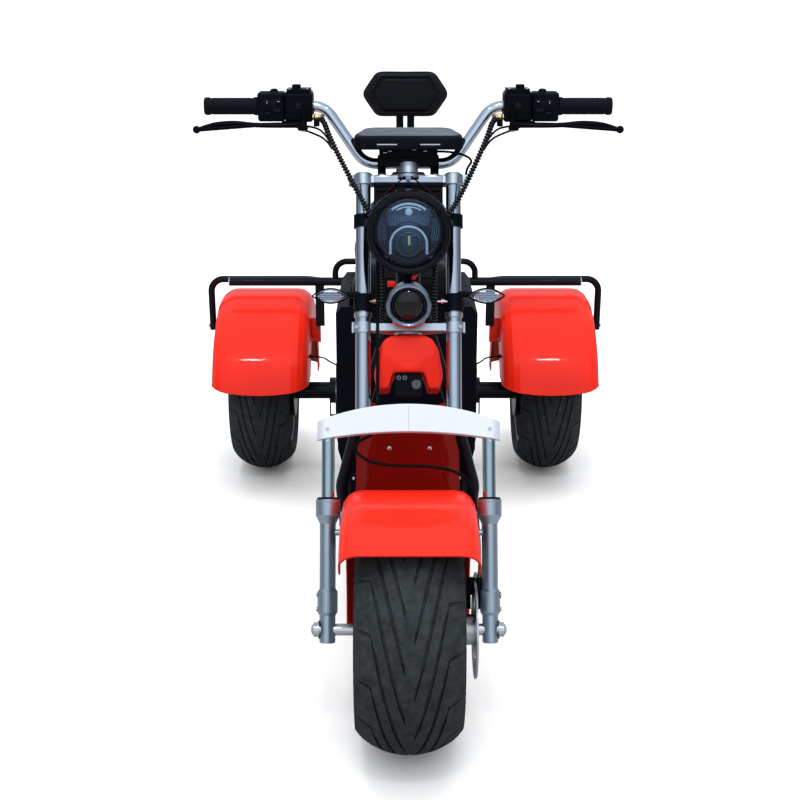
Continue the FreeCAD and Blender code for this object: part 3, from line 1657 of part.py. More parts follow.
def nose_block(shrink):
    """The cover's outer form, or the room inside it when it is shrunk by the wall."""
    low = s.nose_low + shrink
    high = s.nose_high - shrink
    arch = s.nose_low + s.nose_arch_height + shrink
    edge = float(-s.nose_front + shrink)
    corner = s.nose_corner
    points = []
    for x, z in (
        (-s.nose_lobe_half + shrink / 2, low),
        (-s.nose_lobe_inner - shrink, low),
        (-s.nose_arch_half - shrink, arch),
        (s.nose_arch_half + shrink, arch),
        (s.nose_lobe_inner + shrink, low),
        (s.nose_lobe_half - shrink / 2, low),
        (s.nose_half_low - shrink, s.nose_low + corner),
        (s.nose_half_high - shrink, high - corner),
        (s.nose_half_high - corner / 2 - shrink, high - corner / 4),
        (s.nose_half_high - corner - shrink, high),
        (-s.nose_half_high + corner + shrink, high),
        (-s.nose_half_high + corner / 2 + shrink, high - corner / 4),
        (-s.nose_half_high + shrink, high - corner),
        (-s.nose_half_low + shrink, s.nose_low + corner),
    ):
        points.append(Vector(float(x), edge, float(z)))
    face = Part.Face(Part.makePolygon(points + points[:1]))
    prism = face.extrude(Y * float(s.nose_front + s.nose_back))
    axis_foot = Vector(0, float(s.steer_offset), 0)
    drum = Part.makeCylinder(float(s.nose_turn_radius - shrink), float(s.nose_high), axis_foot)
    half = s.nose_half_low
    rear = Part.makeBox(float(half * 2), float(s.nose_back), float(s.nose_high),
                        Vector(-float(half), float(s.steer_offset), 0))
    return prism.common(drum.fuse(rear)).cut(nose_slope(edge, 1)).cut(nose_slope(edge, -1))


def nose_slope(edge, side):
    """What the falling lower part of the cover's face leaves out on one side of its V edge."""
    tip = Vector(0, edge, float(s.nose_low + s.nose_tip_height))
    wing = Vector(float(s.nose_half_low * 2) * side, 0, float(s.nose_wing_rise * 2))
    fall = Vector(0, float(s.nose_fall_back), -float(s.nose_fall)) * 2
    quad = Part.makePolygon([tip, tip + wing, tip + wing + fall, tip + fall, tip])
    return Part.Face(quad).extrude(Y * -float(s.nose_front * 4))


def nose_cover(frame):
    """A rounded hollow cover under the head tube, held by the frame's two front tubes."""
    shell = nose_block(sized(0)).cut(nose_block(s.cover_wall))
    shell.Placement = fork_frame()
    keep(solid("nose_cover", largest(shell.cut(frame))), "nose_cover")


def lock_block():
    """The steering lock's block, which hangs in the arch of the nose cover."""
    top = s.nose_low + s.nose_arch_height - s.part_gap
    start = Vector(-float(s.lock_half), -float(s.lock_front), float(top - s.lock_height))
    block = Part.makeBox(float(s.lock_half * 2), float(s.lock_depth), float(s.lock_height), start)
    middle = Vector(float(s.lock_barrel_at), 0, float(top - s.lock_height / 2))
    barrel = Part.makeCylinder(float(s.lock_barrel_radius), float(s.lock_front + s.overrun), middle, -Y)
    keep(solid("lock_block", block.fuse(barrel), fork_frame()), "lock_block")


def front_panel():
    """A sloping shield with a flat face and two folded-back sides."""
    sections = []
    for half, face, set_back, z in (
        (s.panel_half_high, s.panel_face_half_high, s.panel_high_set, panel_high),
        (s.panel_half_middle, s.panel_face_half_low, s.panel_middle_set, panel_middle),
        (s.panel_half_low, s.panel_face_half_low, s.panel_low_set, floor_top + s.part_gap),
    ):
        wall = float(s.cover_wall)
        points = [
            at(-half, set_back + s.panel_turn, z),
            at(-face, set_back, z),
            at(face, set_back, z),
            at(half, set_back + s.panel_turn, z),
            at(half - s.cover_wall, set_back + s.panel_turn + s.cover_wall, z),
            at(face - s.cover_wall / 2, set_back + s.cover_wall, z),
            at(-face + s.cover_wall / 2, set_back + s.cover_wall, z),
            at(-half + s.cover_wall, set_back + s.panel_turn + s.cover_wall, z),
        ]
        sections.append(Part.makePolygon(points + points[:1]))
    keep(solid("front_panel", Part.makeLoft(sections, True, True)), "front_panel")


def floorboard():
    owner = body("floorboard")
    length = seat_front_set - s.floorboard_front_set
    drawing = outline(sketch(owner, "XY_Plane"), [
        (-s.floorboard_toe_half, 0),
        (s.floorboard_toe_half, 0),
        (s.floorboard_toe_half, s.floorboard_toe),
        (s.floorboard_half, s.floorboard_toe + s.floorboard_round),
        (s.floorboard_half, length),
        (-s.floorboard_half, length),
        (-s.floorboard_half, s.floorboard_toe + s.floorboard_round),
        (-s.floorboard_toe_half, s.floorboard_toe),
    ])
    slab = feature(owner, "Pad", drawing, Length=s.floorboard_thick)
    front = float(s.floorboard_round)
    names = edges_along(slab.Shape, Z, lambda centre: centre.y < front)
    rounded(owner, slab, names, s.floorboard_round)
    place(owner, 0, front_axle_y + s.floorboard_front_set, floor_level)
    keep(owner, "floorboard")


# Battery housing, seat and backrest

def housing():
    owner = body("battery_housing")
    low = floor_level
    drawing = outline(sketch(owner, "XZ_Plane"), [
        (-s.housing_foot_half, low),
        (s.housing_foot_half, low),
        (s.housing_half, housing_foot_height),
        (s.housing_half, housing_waist),
        (s.housing_top_half, housing_top),
        (-s.housing_top_half, housing_top),
        (-s.housing_half, housing_waist),
        (-s.housing_half, housing_foot_height),
    ])
    length = housing_back_set - housing_front_set
    feature(owner, "Pad", drawing, Length=length, Reversed=True)
    wall = s.housing_wall
    room = outline(sketch(owner, "XY_Plane", housing_top), [
        (-s.bay_half, wall),
        (s.bay_half, wall),
        (s.bay_half, length - wall),
        (-s.bay_half, length - wall),
    ])
    feature(owner, "Pocket", room, Length=housing_top - low - wall)
    place(owner, 0, front_axle_y + housing_front_set)
    keep(owner, "battery_housing")
    pack = box("battery_pack", s.battery_half * 2, length - s.battery_room, s.battery_height)
    front = housing_front_set + s.battery_room / 2
    place(pack, -s.battery_half, front_axle_y + front, low + wall + s.part_gap)
    keep(pack, "battery_pack")


def cushion(label, front, back, low, thick):
    owner = body(label)
    drawing = outline(sketch(owner, "XZ_Plane"), [
        (-s.seat_half, 0),
        (s.seat_half, 0),
        (s.seat_top_half, thick - s.seat_crown, -s.seat_crown),
        (-s.seat_top_half, thick - s.seat_crown),
    ])
    feature(owner, "Pad", drawing, Length=back - front, Reversed=True)
    place(owner, 0, front_axle_y + front, low)
    keep(owner, label)


def seats():
    cushion("driver_seat", seat_front_set, seat_split_set, seat_base, s.seat_thick)
    cushion("pillion_seat", seat_split_set + s.seat_split_gap, seat_back_set, seat_base,
            s.seat_thick + s.pillion_rise)


def backrest():
    owner = body("backrest")
    half = s.backrest_half
    tall = s.backrest_tall / 2
    drawing = outline(sketch(owner, "XZ_Plane"), [
        (-s.backrest_half_flat, -tall),
        (s.backrest_half_flat, -tall),
        (half, 0),
        (s.backrest_half_flat, tall),
        (-s.backrest_half_flat, tall),
        (-half, 0),
    ])
    feature(owner, "Pad", drawing, Length=s.backrest_thick, Midplane=True)
    place(owner, 0, front_axle_y + backrest_set, backrest_height)
    keep(owner, "backrest")
    low = seat_rail_height - s.rail_tube_radius
    strut = box("backrest_strut", s.strut_width, s.strut_thick, backrest_height - low)
    place(strut, s.strut_half_gap - s.strut_width / 2, front_axle_y + strut_back - s.strut_thick, low)
    mirrored("backrest_struts", strut)


# Rear axle

def axle_housing():
    """The driven axle's tube, with its gear case in the middle and a drum at each end."""
    owner = body("axle_housing")
    tube_radius = s.axle_tube_radius
    end = s.track / 2 - s.rear_hub_half - s.part_gap
    drum = end - s.drum_half * 2
    flange = s.axle_flange_at
    reach = s.axle_flange_half
    bore = s.shaft_radius + s.part_gap
    drawing = outline(sketch(owner, "XY_Plane"), [
        (0, bore),
        (end, bore),
        (end, s.drum_radius),
        (drum, s.drum_radius),
        (drum, tube_radius),
        (flange + reach, tube_radius),
        (flange + reach, s.axle_flange_radius),
        (flange - reach, s.axle_flange_radius),
        (flange - reach, tube_radius),
        (s.axle_case_half + tube_radius, tube_radius),
        (s.axle_case_half, s.axle_case_radius),
        (0, s.axle_case_radius),
    ])
    ring = turned(owner, drawing, "H_Axis")
    near = flange - s.axle_hook_half
    far = flange + s.axle_hook_half
    wall = s.axle_hook_wall
    hook = outline(sketch(owner, "XZ_Plane"), [
        (near, -tube_radius / 2),
        (near, -s.axle_hook_drop),
        (far, -s.axle_hook_drop),
        (far, -tube_radius / 2),
        (far - wall, -tube_radius / 2),
        (far - wall, -s.axle_hook_drop + wall),
        (near + wall, -s.axle_hook_drop + wall),
        (near + wall, -tube_radius / 2),
    ])
    loop = feature(owner, "Pad", hook, Length=s.axle_hook_thick, Midplane=True)
    mirror_step = owner.newObject("PartDesign::Mirrored", "axle_other_half")
    mirror_step.Originals = [ring, loop]
    plane = [item for item in owner.Origin.OriginFeatures if item.Role == "YZ_Plane"][0]
    mirror_step.MirrorPlane = (plane, [""])
    owner.Tip = mirror_step
    place(owner, 0, rear_axle_y, tyre_radius)
    keep(owner, "axle_housing")
    return owner


def drive_motor(case):
    start = at(0, s.wheelbase - s.axle_case_radius - s.motor_length + s.motor_overlap, motor_height)
    stop = at(0, s.wheelbase, motor_height)
    block = rod(start, stop, s.motor_radius).cut(case.Shape)
    block = sorted(block.Solids, key=lambda item: item.CenterOfMass.y)[0]
    keep(solid("drive_motor", block), "drive_motor")


def rear_arms(case):
    arms = []
    for sign in (-1, 1):
        eye_near = at((s.arm_half - s.arm_eye_half) * sign, pivot_set, pivot_height)
        eye_far = at((s.arm_half + s.arm_eye_half) * sign, pivot_set, pivot_height)
        heart = at(s.arm_half * sign, pivot_set, pivot_height)
        foot = at(s.arm_half * sign, s.wheelbase, tyre_radius)
        arm = rod(eye_near, eye_far, s.arm_eye_radius).fuse(rod(heart, foot, s.arm_radius))
        arm = arm.cut(rod(eye_near, eye_far, s.pivot_radius + s.seat_gap)).cut(case.Shape)
        arms.append(sorted(arm.Solids, key=lambda item: item.CenterOfMass.y)[0])
    keep(solid("trailing_arms", Part.makeCompound(arms)), "trailing_arms")


def shocks(case, rails):
    """Upright dampers between the axle tube and the seat rails."""
    foot = at(s.shock_half, shock_foot_set, tyre_radius)
    top = at(s.shock_half, shock_top_set, seat_rail_height)
    way = (top - foot).normalize()
    low = foot + way * float(s.axle_tube_radius + s.shock_foot_eye)
    high = top - way * float(s.shock_neck)
    shape = rod(foot, top, s.shock_rod_radius).fuse(rod(low, high, s.shock_radius))
    pair("rear_shocks", largest(shape.cut(case.Shape).cut(rails)))


def tail_lamp():
    lamp = box("tail_lamp", s.tail_lamp_half * 2, s.tail_lamp_depth, s.tail_lamp_height)
    place(lamp, -s.tail_lamp_half, front_axle_y + seat_rail_back + s.part_gap,
          seat_rail_height - s.tail_lamp_height / 2)
    keep(lamp, "tail_lamp")


def check(things):
    for thing in things:
        if "Invalid" in thing.State or "Error" in thing.State:
            raise RuntimeError(thing.Label + " did not compute")
    for piece in pieces:
        if piece.Shape.isNull() or not piece.Shape.isValid():
            raise RuntimeError(piece.Label + " has no valid shape")


def write():
    os.makedirs("parts", exist_ok=True)
    for piece in pieces:
        piece.Shape.exportStep("parts/" + piece.Label + ".step")
        print(piece.Label, len(piece.Shape.Solids), round(piece.Shape.Volume))


def main():
    wheels()
    front_brake_disc()
    front_axle()
    fork_legs()
    stanchions()
    fork_bridge()
    fork_tubes()
    yoke("lower_yoke", s.lower_yoke_low, s.lower_yoke_high, s.stem_boss_radius, s.lower_yoke_lug)
    yoke("upper_yoke", s.upper_yoke_low, s.upper_yoke_high, s.stem_boss_radius, s.upper_yoke_lug)
    steering_stem()
    head_tube()
    handlebar()
    risers()
    grips()
    controls()
    display()
    headlight()
    lamp_arms()
    spot_bracket(spot_lamp())
    lamp_cover()
    cords()
    signals()
    front_fender()
    front_caliper()
    rails = seat_frame()
    frame = main_frame(rails)
    rear_bars()
    rear_fenders()
    nose_cover(frame)
    lock_block()
    front_panel()
    floorboard()
    housing()
    fender_cables()
    seats()
    backrest()
    case = axle_housing()
    doc.recompute()
    drive_motor(case)
    rear_arms(case)
    shocks(case, rails)
    tail_lamp()
    doc.recompute()
    check(doc.Objects)
    write()


main()
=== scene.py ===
import math

import bmesh
import bpy
from mathutils import Matrix, Vector
from mathutils.bvhtree import BVHTree


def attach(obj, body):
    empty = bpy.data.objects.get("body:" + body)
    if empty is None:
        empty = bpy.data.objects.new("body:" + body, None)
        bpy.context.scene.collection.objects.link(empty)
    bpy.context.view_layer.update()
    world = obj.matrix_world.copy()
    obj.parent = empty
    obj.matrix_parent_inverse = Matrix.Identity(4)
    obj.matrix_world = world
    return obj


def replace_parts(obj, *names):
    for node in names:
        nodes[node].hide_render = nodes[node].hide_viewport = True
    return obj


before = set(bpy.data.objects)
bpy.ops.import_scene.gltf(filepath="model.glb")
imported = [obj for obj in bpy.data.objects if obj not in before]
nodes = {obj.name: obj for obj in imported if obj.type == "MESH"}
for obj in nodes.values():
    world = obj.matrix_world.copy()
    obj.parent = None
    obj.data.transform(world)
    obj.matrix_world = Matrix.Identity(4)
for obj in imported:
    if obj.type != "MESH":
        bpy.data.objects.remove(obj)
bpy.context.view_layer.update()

# The layout that the solids share: metres, +Z up, -Y towards the front. The details' places and sizes
# are written in millimetres; the functions that take them give points and matrices in metres.
MM = 0.001
AXLE_Y = -0.783
REAR_Y = 0.707
WHEEL_R = 0.2385
TRACK = 0.862
REAR_TYRE_SHARE = 0.090 / 0.1035
RAKE = math.radians(24.5)
FORK_TURN = Matrix.Rotation(-RAKE, 4, "X")
FORK = Matrix.Translation((0, AXLE_Y, WHEEL_R)) @ FORK_TURN
STEM_BACK = 35
TUBE_X = 91.5
LEG_X = 160.5
TAU = 2 * math.pi
Z = Vector((0, 0, 1))
FORWARD = Vector((0, -1, 0))
BACKWARD = Vector((0, 1, 0))
SIDES = (-1, 1)


def mm(x, y, z):
    return Vector((x, y, z)) * MM


def at(x, back, z):
    """A point given by its distance behind the front axle."""
    return mm(x, back, z) + Vector((0, AXLE_Y, 0))


def on_fork(x, back, along):
    """A point given in the fork's own directions, from the front axle."""
    return FORK @ mm(x, back, along)


def fork_way(x, back, along):
    return FORK_TURN.to_3x3() @ Vector((x, back, along))


FORK_FRONT = fork_way(0, -1, 0)
FORK_BACK = fork_way(0, 1, 0)


def move(x, y, z):
    return Matrix.Translation(mm(x, y, z))


def aim(origin, way):
    """A matrix whose local Z runs along a direction."""
    turn = Vector(way).normalized().to_track_quat("Z", "Y")
    return Matrix.Translation(origin) @ turn.to_matrix().to_4x4()


def polar(radius, degrees, height=0.0):
    """A point on a circle about local Z."""
    a = math.radians(degrees)
    return mm(radius * math.cos(a), radius * math.sin(a), height)


# Materials: every finish is built from procedural noise

def fill(node, **values):
    """Sets a node's inputs; an underscore stands for the space in an input's name."""
    for name, value in values.items():
        node.inputs[name.replace("_", " ")].default_value = value
    return node


def new_node(tree, kind, **values):
    return fill(tree.nodes.new("ShaderNode" + kind), **values)


def tint(colour, share=1):
    return tuple(min(1.0, c * share) for c in colour) + (1.0,)


class Finish:
    """A principled material with noise in its colour, roughness and surface."""

    def __init__(self, name, colour, rough, metal=0.0):
        self.material = bpy.data.materials.new(name)
        self.material.use_nodes = True
        self.tree = self.material.node_tree
        self.shader = self.tree.nodes["Principled BSDF"]
        self.colour, self.rough, self.normal = colour, rough, None
        self.set(Metallic=metal, Roughness=rough, Base_Color=tint(colour))
        self.where = self.add("TexCoord").outputs["Object"]

    def add(self, kind, **values):
        return new_node(self.tree, kind, **values)

    def link(self, source, node, name):
        self.tree.links.new(source, node.inputs[name])

    def set(self, **values):
        fill(self.shader, **values)
        return self

    def noise(self, scale, detail=3.0, stretch=None, rough=0.5):
        made = self.add("TexNoise", Scale=scale, Detail=detail, Roughness=rough)
        where = self.where
        if stretch:
            mapping = self.add("Mapping", Scale=stretch)
            self.link(where, mapping, "Vector")
            where = mapping.outputs["Vector"]
        self.link(where, made, "Vector")
        return made.outputs["Fac"]

    def cells(self, scale, feature="F1"):
        made = self.add("TexVoronoi", Scale=scale)
        made.feature = feature
        self.link(self.where, made, "Vector")
        return made.outputs["Distance"]

    def ramp(self, source, first, last):
        made = self.add("MapRange", From_Min=0.3, From_Max=0.7, To_Min=first, To_Max=last)
        self.link(source, made, "Value")
        return made.outputs["Result"]

    def mottle(self, source, dark, light):
        """Colour that wanders between two shares of the base colour."""
        made = self.add("Mix")
        made.data_type = "RGBA"
        made.inputs[6].default_value = tint(self.colour, dark)
        made.inputs[7].default_value = tint(self.colour, light)
        self.link(self.ramp(source, 0, 1), made, 0)
        self.link(made.outputs[2], self.shader, "Base Color")
        return self

    def wear(self, source, less, more):
        """Roughness that wanders round the base value."""
        worn = self.ramp(source, max(0.0, self.rough - less), self.rough + more)
        self.link(worn, self.shader, "Roughness")
        return self

    def turned_by(self, made):
        self.normal = made.outputs["Normal"]
        self.link(self.normal, self.shader, "Normal")
        return self

    def soften(self, radius):
        """Light falls on hard edges as if they were rounded."""
        if not radius:
            return self
        made = self.add("Bevel", Radius=radius)
        made.samples = 4
        return self.turned_by(made)

    def bump(self, source, strength, distance):
        made = self.add("Bump", Strength=strength, Distance=distance)
        self.link(source, made, "Height")
        if self.normal is not None:
            self.link(self.normal, made, "Normal")
        return self.turned_by(made)


def paint(name, colour, rough=0.3, coat=0.4, shine=0.3, edge=0.0):
    made = Finish(name, colour, rough).soften(edge)
    made.set(Coat_Weight=coat, Coat_Roughness=0.04, Specular_IOR_Level=shine)
    return made.mottle(made.noise(6), 0.94, 1.05).bump(made.noise(240, 2), 0.015, 0.0003).material


def metal(name, colour, rough, stretch=None, grain=0.05, edge=0.0):
    made = Finish(name, colour, rough, 1.0).soften(edge)
    made.mottle(made.noise(9), 0.95, 1.03).wear(made.noise(60, 4, stretch), rough * 0.08, rough * 0.1)
    if grain:
        made.bump(made.noise(500, 3, stretch), grain, 0.0002)
    return made.material


def plastic(name, colour, rough, grain=0.25, scale=1400, shine=0.1, edge=0.0):
    made = Finish(name, colour, rough).soften(edge).set(Specular_IOR_Level=shine)
    made.mottle(made.noise(9), 0.8, 1.25).wear(made.noise(30), 0.06, 0.1)
    return made.bump(made.noise(scale, 2), grain, 0.0004).material


def glow(name, colour, strength):
    made = Finish(name, colour, 0.3).set(Emission_Color=tint(colour), Emission_Strength=strength)
    return made.mottle(made.noise(200), 0.85, 1.1).material


def glass(name, colour, gloss=1.0, rough=0.02):
    """A thin tinted pane: what lies behind shows through, with a mirror on the surface."""
    made = Finish(name, colour, rough)
    made.tree.nodes.remove(made.shader)
    clear = made.add("BsdfTransparent", Color=tint(colour))
    mirror = made.add("BsdfGlossy", Color=(gloss, gloss, gloss, 1))
    smear = made.add("TexNoise", Scale=60.0)
    made.link(made.ramp(smear.outputs["Fac"], rough, rough + 0.05), mirror, "Roughness")
    mix = made.add("MixShader")
    for i, source in enumerate((made.add("Fresnel", IOR=1.4), clear, mirror)):
        made.link(source.outputs[0], mix, i)
    made.link(mix.outputs[0], made.tree.nodes["Material Output"], "Surface")
    return made.material


def rubber_tyre():
    made = Finish("tyre_rubber", (0.026, 0.032, 0.036), 0.72).set(Specular_IOR_Level=0.2)
    made.mottle(made.noise(45, 6, rough=0.7), 0.55, 1.5).wear(made.noise(70), 0.12, 0.12)
    return made.bump(made.cells(420), 0.25, 0.0006).bump(made.noise(220, 5), 0.3, 0.0008).material


def leather():
    made = Finish("seat_leather", (0.004, 0.005, 0.008), 0.42).set(Specular_IOR_Level=0.16)
    made.mottle(made.noise(12), 0.8, 1.3).wear(made.noise(22), 0.08, 0.12)
    made.bump(made.cells(330, "DISTANCE_TO_EDGE"), 0.35, 0.0006)
    return made.bump(made.noise(700, 3), 0.12, 0.0003).material


ALONG_Z, ALONG_X = (8, 8, 0.5), (0.5, 8, 8)
RED = paint("red_paint", (0.84, 0.020, 0.008), 0.30, 0.3, 0.1, 0.004)
# painted shade: a darker copy of the red paint, which stands for the shade that falls on the front
# panel
PANEL_RED_PAINTED_SHADE = paint("panel_red_painted_shade", (0.22, 0.007, 0.004), 0.4, 0.05, 0.05, 0.003)
BLACK_GLOSS = paint("frame_black", (0.003, 0.004, 0.008), 0.3, 0.12, 0.1)
BLACK_METAL = plastic("black_metal", (0.001, 0.0015, 0.004), 0.34, 0.12, 1400, 0.08, 0.0012)
BLACK_PLASTIC = plastic("black_plastic", (0.002, 0.003, 0.007), 0.46, 0.2, 1400, 0.08, 0.0015)
GRIP_RUBBER = plastic("black_rubber", (0.004, 0.005, 0.009), 0.6, 0.4, 900)
HOSE = plastic("hose_rubber", (0.002, 0.002, 0.004), 0.45, 0.15)
TYRE = rubber_tyre()
LEATHER = leather()
ALUMINIUM = metal("fork_aluminium", (0.52, 0.58, 0.68), 0.11, ALONG_Z, 0)
CLAMP = metal("clamp_aluminium", (0.60, 0.67, 0.75), 0.38, None, 0.1, 0.002)
LEG = metal("leg_aluminium", (0.47, 0.56, 0.65), 0.4, None, 0.1)
BRIDGE = metal("bridge_aluminium", (0.84, 0.90, 0.97), 0.42, None, 0.03, 0.003)
BAR = metal("bar_aluminium", (0.62, 0.69, 0.80), 0.11, ALONG_X, 0)
RIM = metal("rim_alloy", (0.42, 0.43, 0.45), 0.32)
STEEL = metal("axle_steel", (0.66, 0.67, 0.69), 0.22)
DISC = metal("disc_steel", (0.60, 0.61, 0.63), 0.25, (1, 40, 40))
CHROME = metal("chrome", (0.9, 0.91, 0.93), 0.05, None, 0)
DARK_CHROME = metal("dark_chrome", (0.10, 0.11, 0.13), 0.12, None, 0)
STANCHION = metal("stanchion_steel", (0.40, 0.52, 0.60), 0.09, ALONG_Z, 0)
MOTOR = metal("motor_aluminium", (0.5, 0.51, 0.53), 0.45, None, 0.4)
BRASS = metal("brass", (0.36, 0.27, 0.13), 0.28)
DISPLAY_TOP = plastic("display_silver", (0.060, 0.078, 0.098), 0.42, 0.9, 700, 0.3)
REFLECTOR = metal("reflector", (0.42, 0.52, 0.66), 0.1, None, 0)
BATTERY = plastic("battery_blue", (0.05, 0.10, 0.26), 0.5)
SMOKED = glass("smoked_glass", (0.78, 0.84, 0.92), 0.6)
RED_LENS = glass("red_lens", (0.75, 0.04, 0.03))
SIGNAL = glass("signal_glass", (0.86, 0.88, 0.9), 1.0, 0.08)
RIM_CHROME = metal("lamp_ring", (0.26, 0.31, 0.39), 0.2, None, 0)
LAMP_BLUE = metal("lamp_blue", (0.20, 0.27, 0.36), 0.3, None, 0)
LAMP_ARC = metal("lamp_arc", (0.5, 0.55, 0.6), 0.3, None, 0)
TEAL = paint("projector_glass", (0.012, 0.035, 0.04), 0.2)
NAVY = paint("bowl_blue", (0.012, 0.022, 0.05), 0.3)
LENS_BLACK = paint("spot_glass", (0.002, 0.002, 0.003), 0.05)
LAMP_ON = glow("lamp_chip", (0.55, 0.52, 0.26), 0.5)
ICON = glow("display_light", (0.40, 0.45, 0.52), 0.3)
SLEEVE = plastic("sleeve", (0.006, 0.007, 0.009), 0.3, 0, 900, 0.5)
WIRE = plastic("wire_red", (0.045, 0.008, 0.010), 0.5)
PIPING = plastic("seat_piping", (0.006, 0.007, 0.009), 0.4, 0.3, 900)

fill(BRIDGE.node_tree.nodes["Principled BSDF"], Metallic=0.35)
# Painted light: the headlight's bowl, projector glass, ribs, louvres and arcs glow as if lit, though
# they are no lamps; the glow stands in for the light and reflections inside the lamp.
for look, colour in ((NAVY, (0.004, 0.010, 0.022)), (TEAL, (0.006, 0.024, 0.030)),
                     (LAMP_BLUE, (0.022, 0.042, 0.066)), (LAMP_ARC, (0.26, 0.36, 0.44))):
    fill(look.node_tree.nodes["Principled BSDF"], Emission_Color=tint(colour), Emission_Strength=1.0)

FINISHES = {
    RED: "front_fender rear_fenders nose_cover",
    # the front panel takes the darker red of painted shade
    PANEL_RED_PAINTED_SHADE: "front_panel",
    BLACK_GLOSS: "main_frame seat_rails cross_bar fender_rails backrest_struts axle_housing "
                 "trailing_arms head_tube",
    BLACK_METAL: "handlebar_risers brake_reservoirs brake_levers lamp_arms spot_bracket "
                 "front_caliper headlight_shell lock_block",
    BLACK_PLASTIC: "switch_pods display_foot signal_bodies battery_housing lamp_cover",
    GRIP_RUBBER: "grips floorboard",
    TYRE: "front_tyre rear_tyre_left rear_tyre_right",
    LEATHER: "driver_seat pillion_seat backrest",
    ALUMINIUM: "fork_tubes",
    CLAMP: "lower_yoke upper_yoke",
    LEG: "fork_legs",
    BRIDGE: "fork_bridge",
    BAR: "handlebar",
    RIM: "front_rim rear_rim_left rear_rim_right",
    STEEL: "front_axle steering_stem",
    DISC: "front_brake_disc",
    STANCHION: "stanchions",
    CHROME: "rear_shocks",
    RIM_CHROME: "spot_lamp",
    HOSE: "brake_hose conduits fender_cables",
    MOTOR: "drive_motor",
    DISPLAY_TOP: "display",
    BATTERY: "battery_pack",
    SMOKED: "headlight_lens",
    SIGNAL: "signal_lenses",
    RED_LENS: "tail_lamp",
}


# Building blocks

def coat(mesh, material, angle):
    """Gives a mesh its one material, and smooth shading up to an angle in degrees."""
    mesh.materials.clear()
    mesh.materials.append(material)
    smooth(mesh, angle)


def smooth(mesh, angle):
    for face in mesh.polygons:
        face.use_smooth = True
    mesh.set_sharp_from_angle(angle=math.radians(angle))


def new_piece(name, data):
    piece = bpy.data.objects.new(name, data)
    bpy.context.scene.collection.objects.link(piece)
    return piece


for material, names in FINISHES.items():
    for name in names.split():
        coat(nodes[name].data, material, 30)


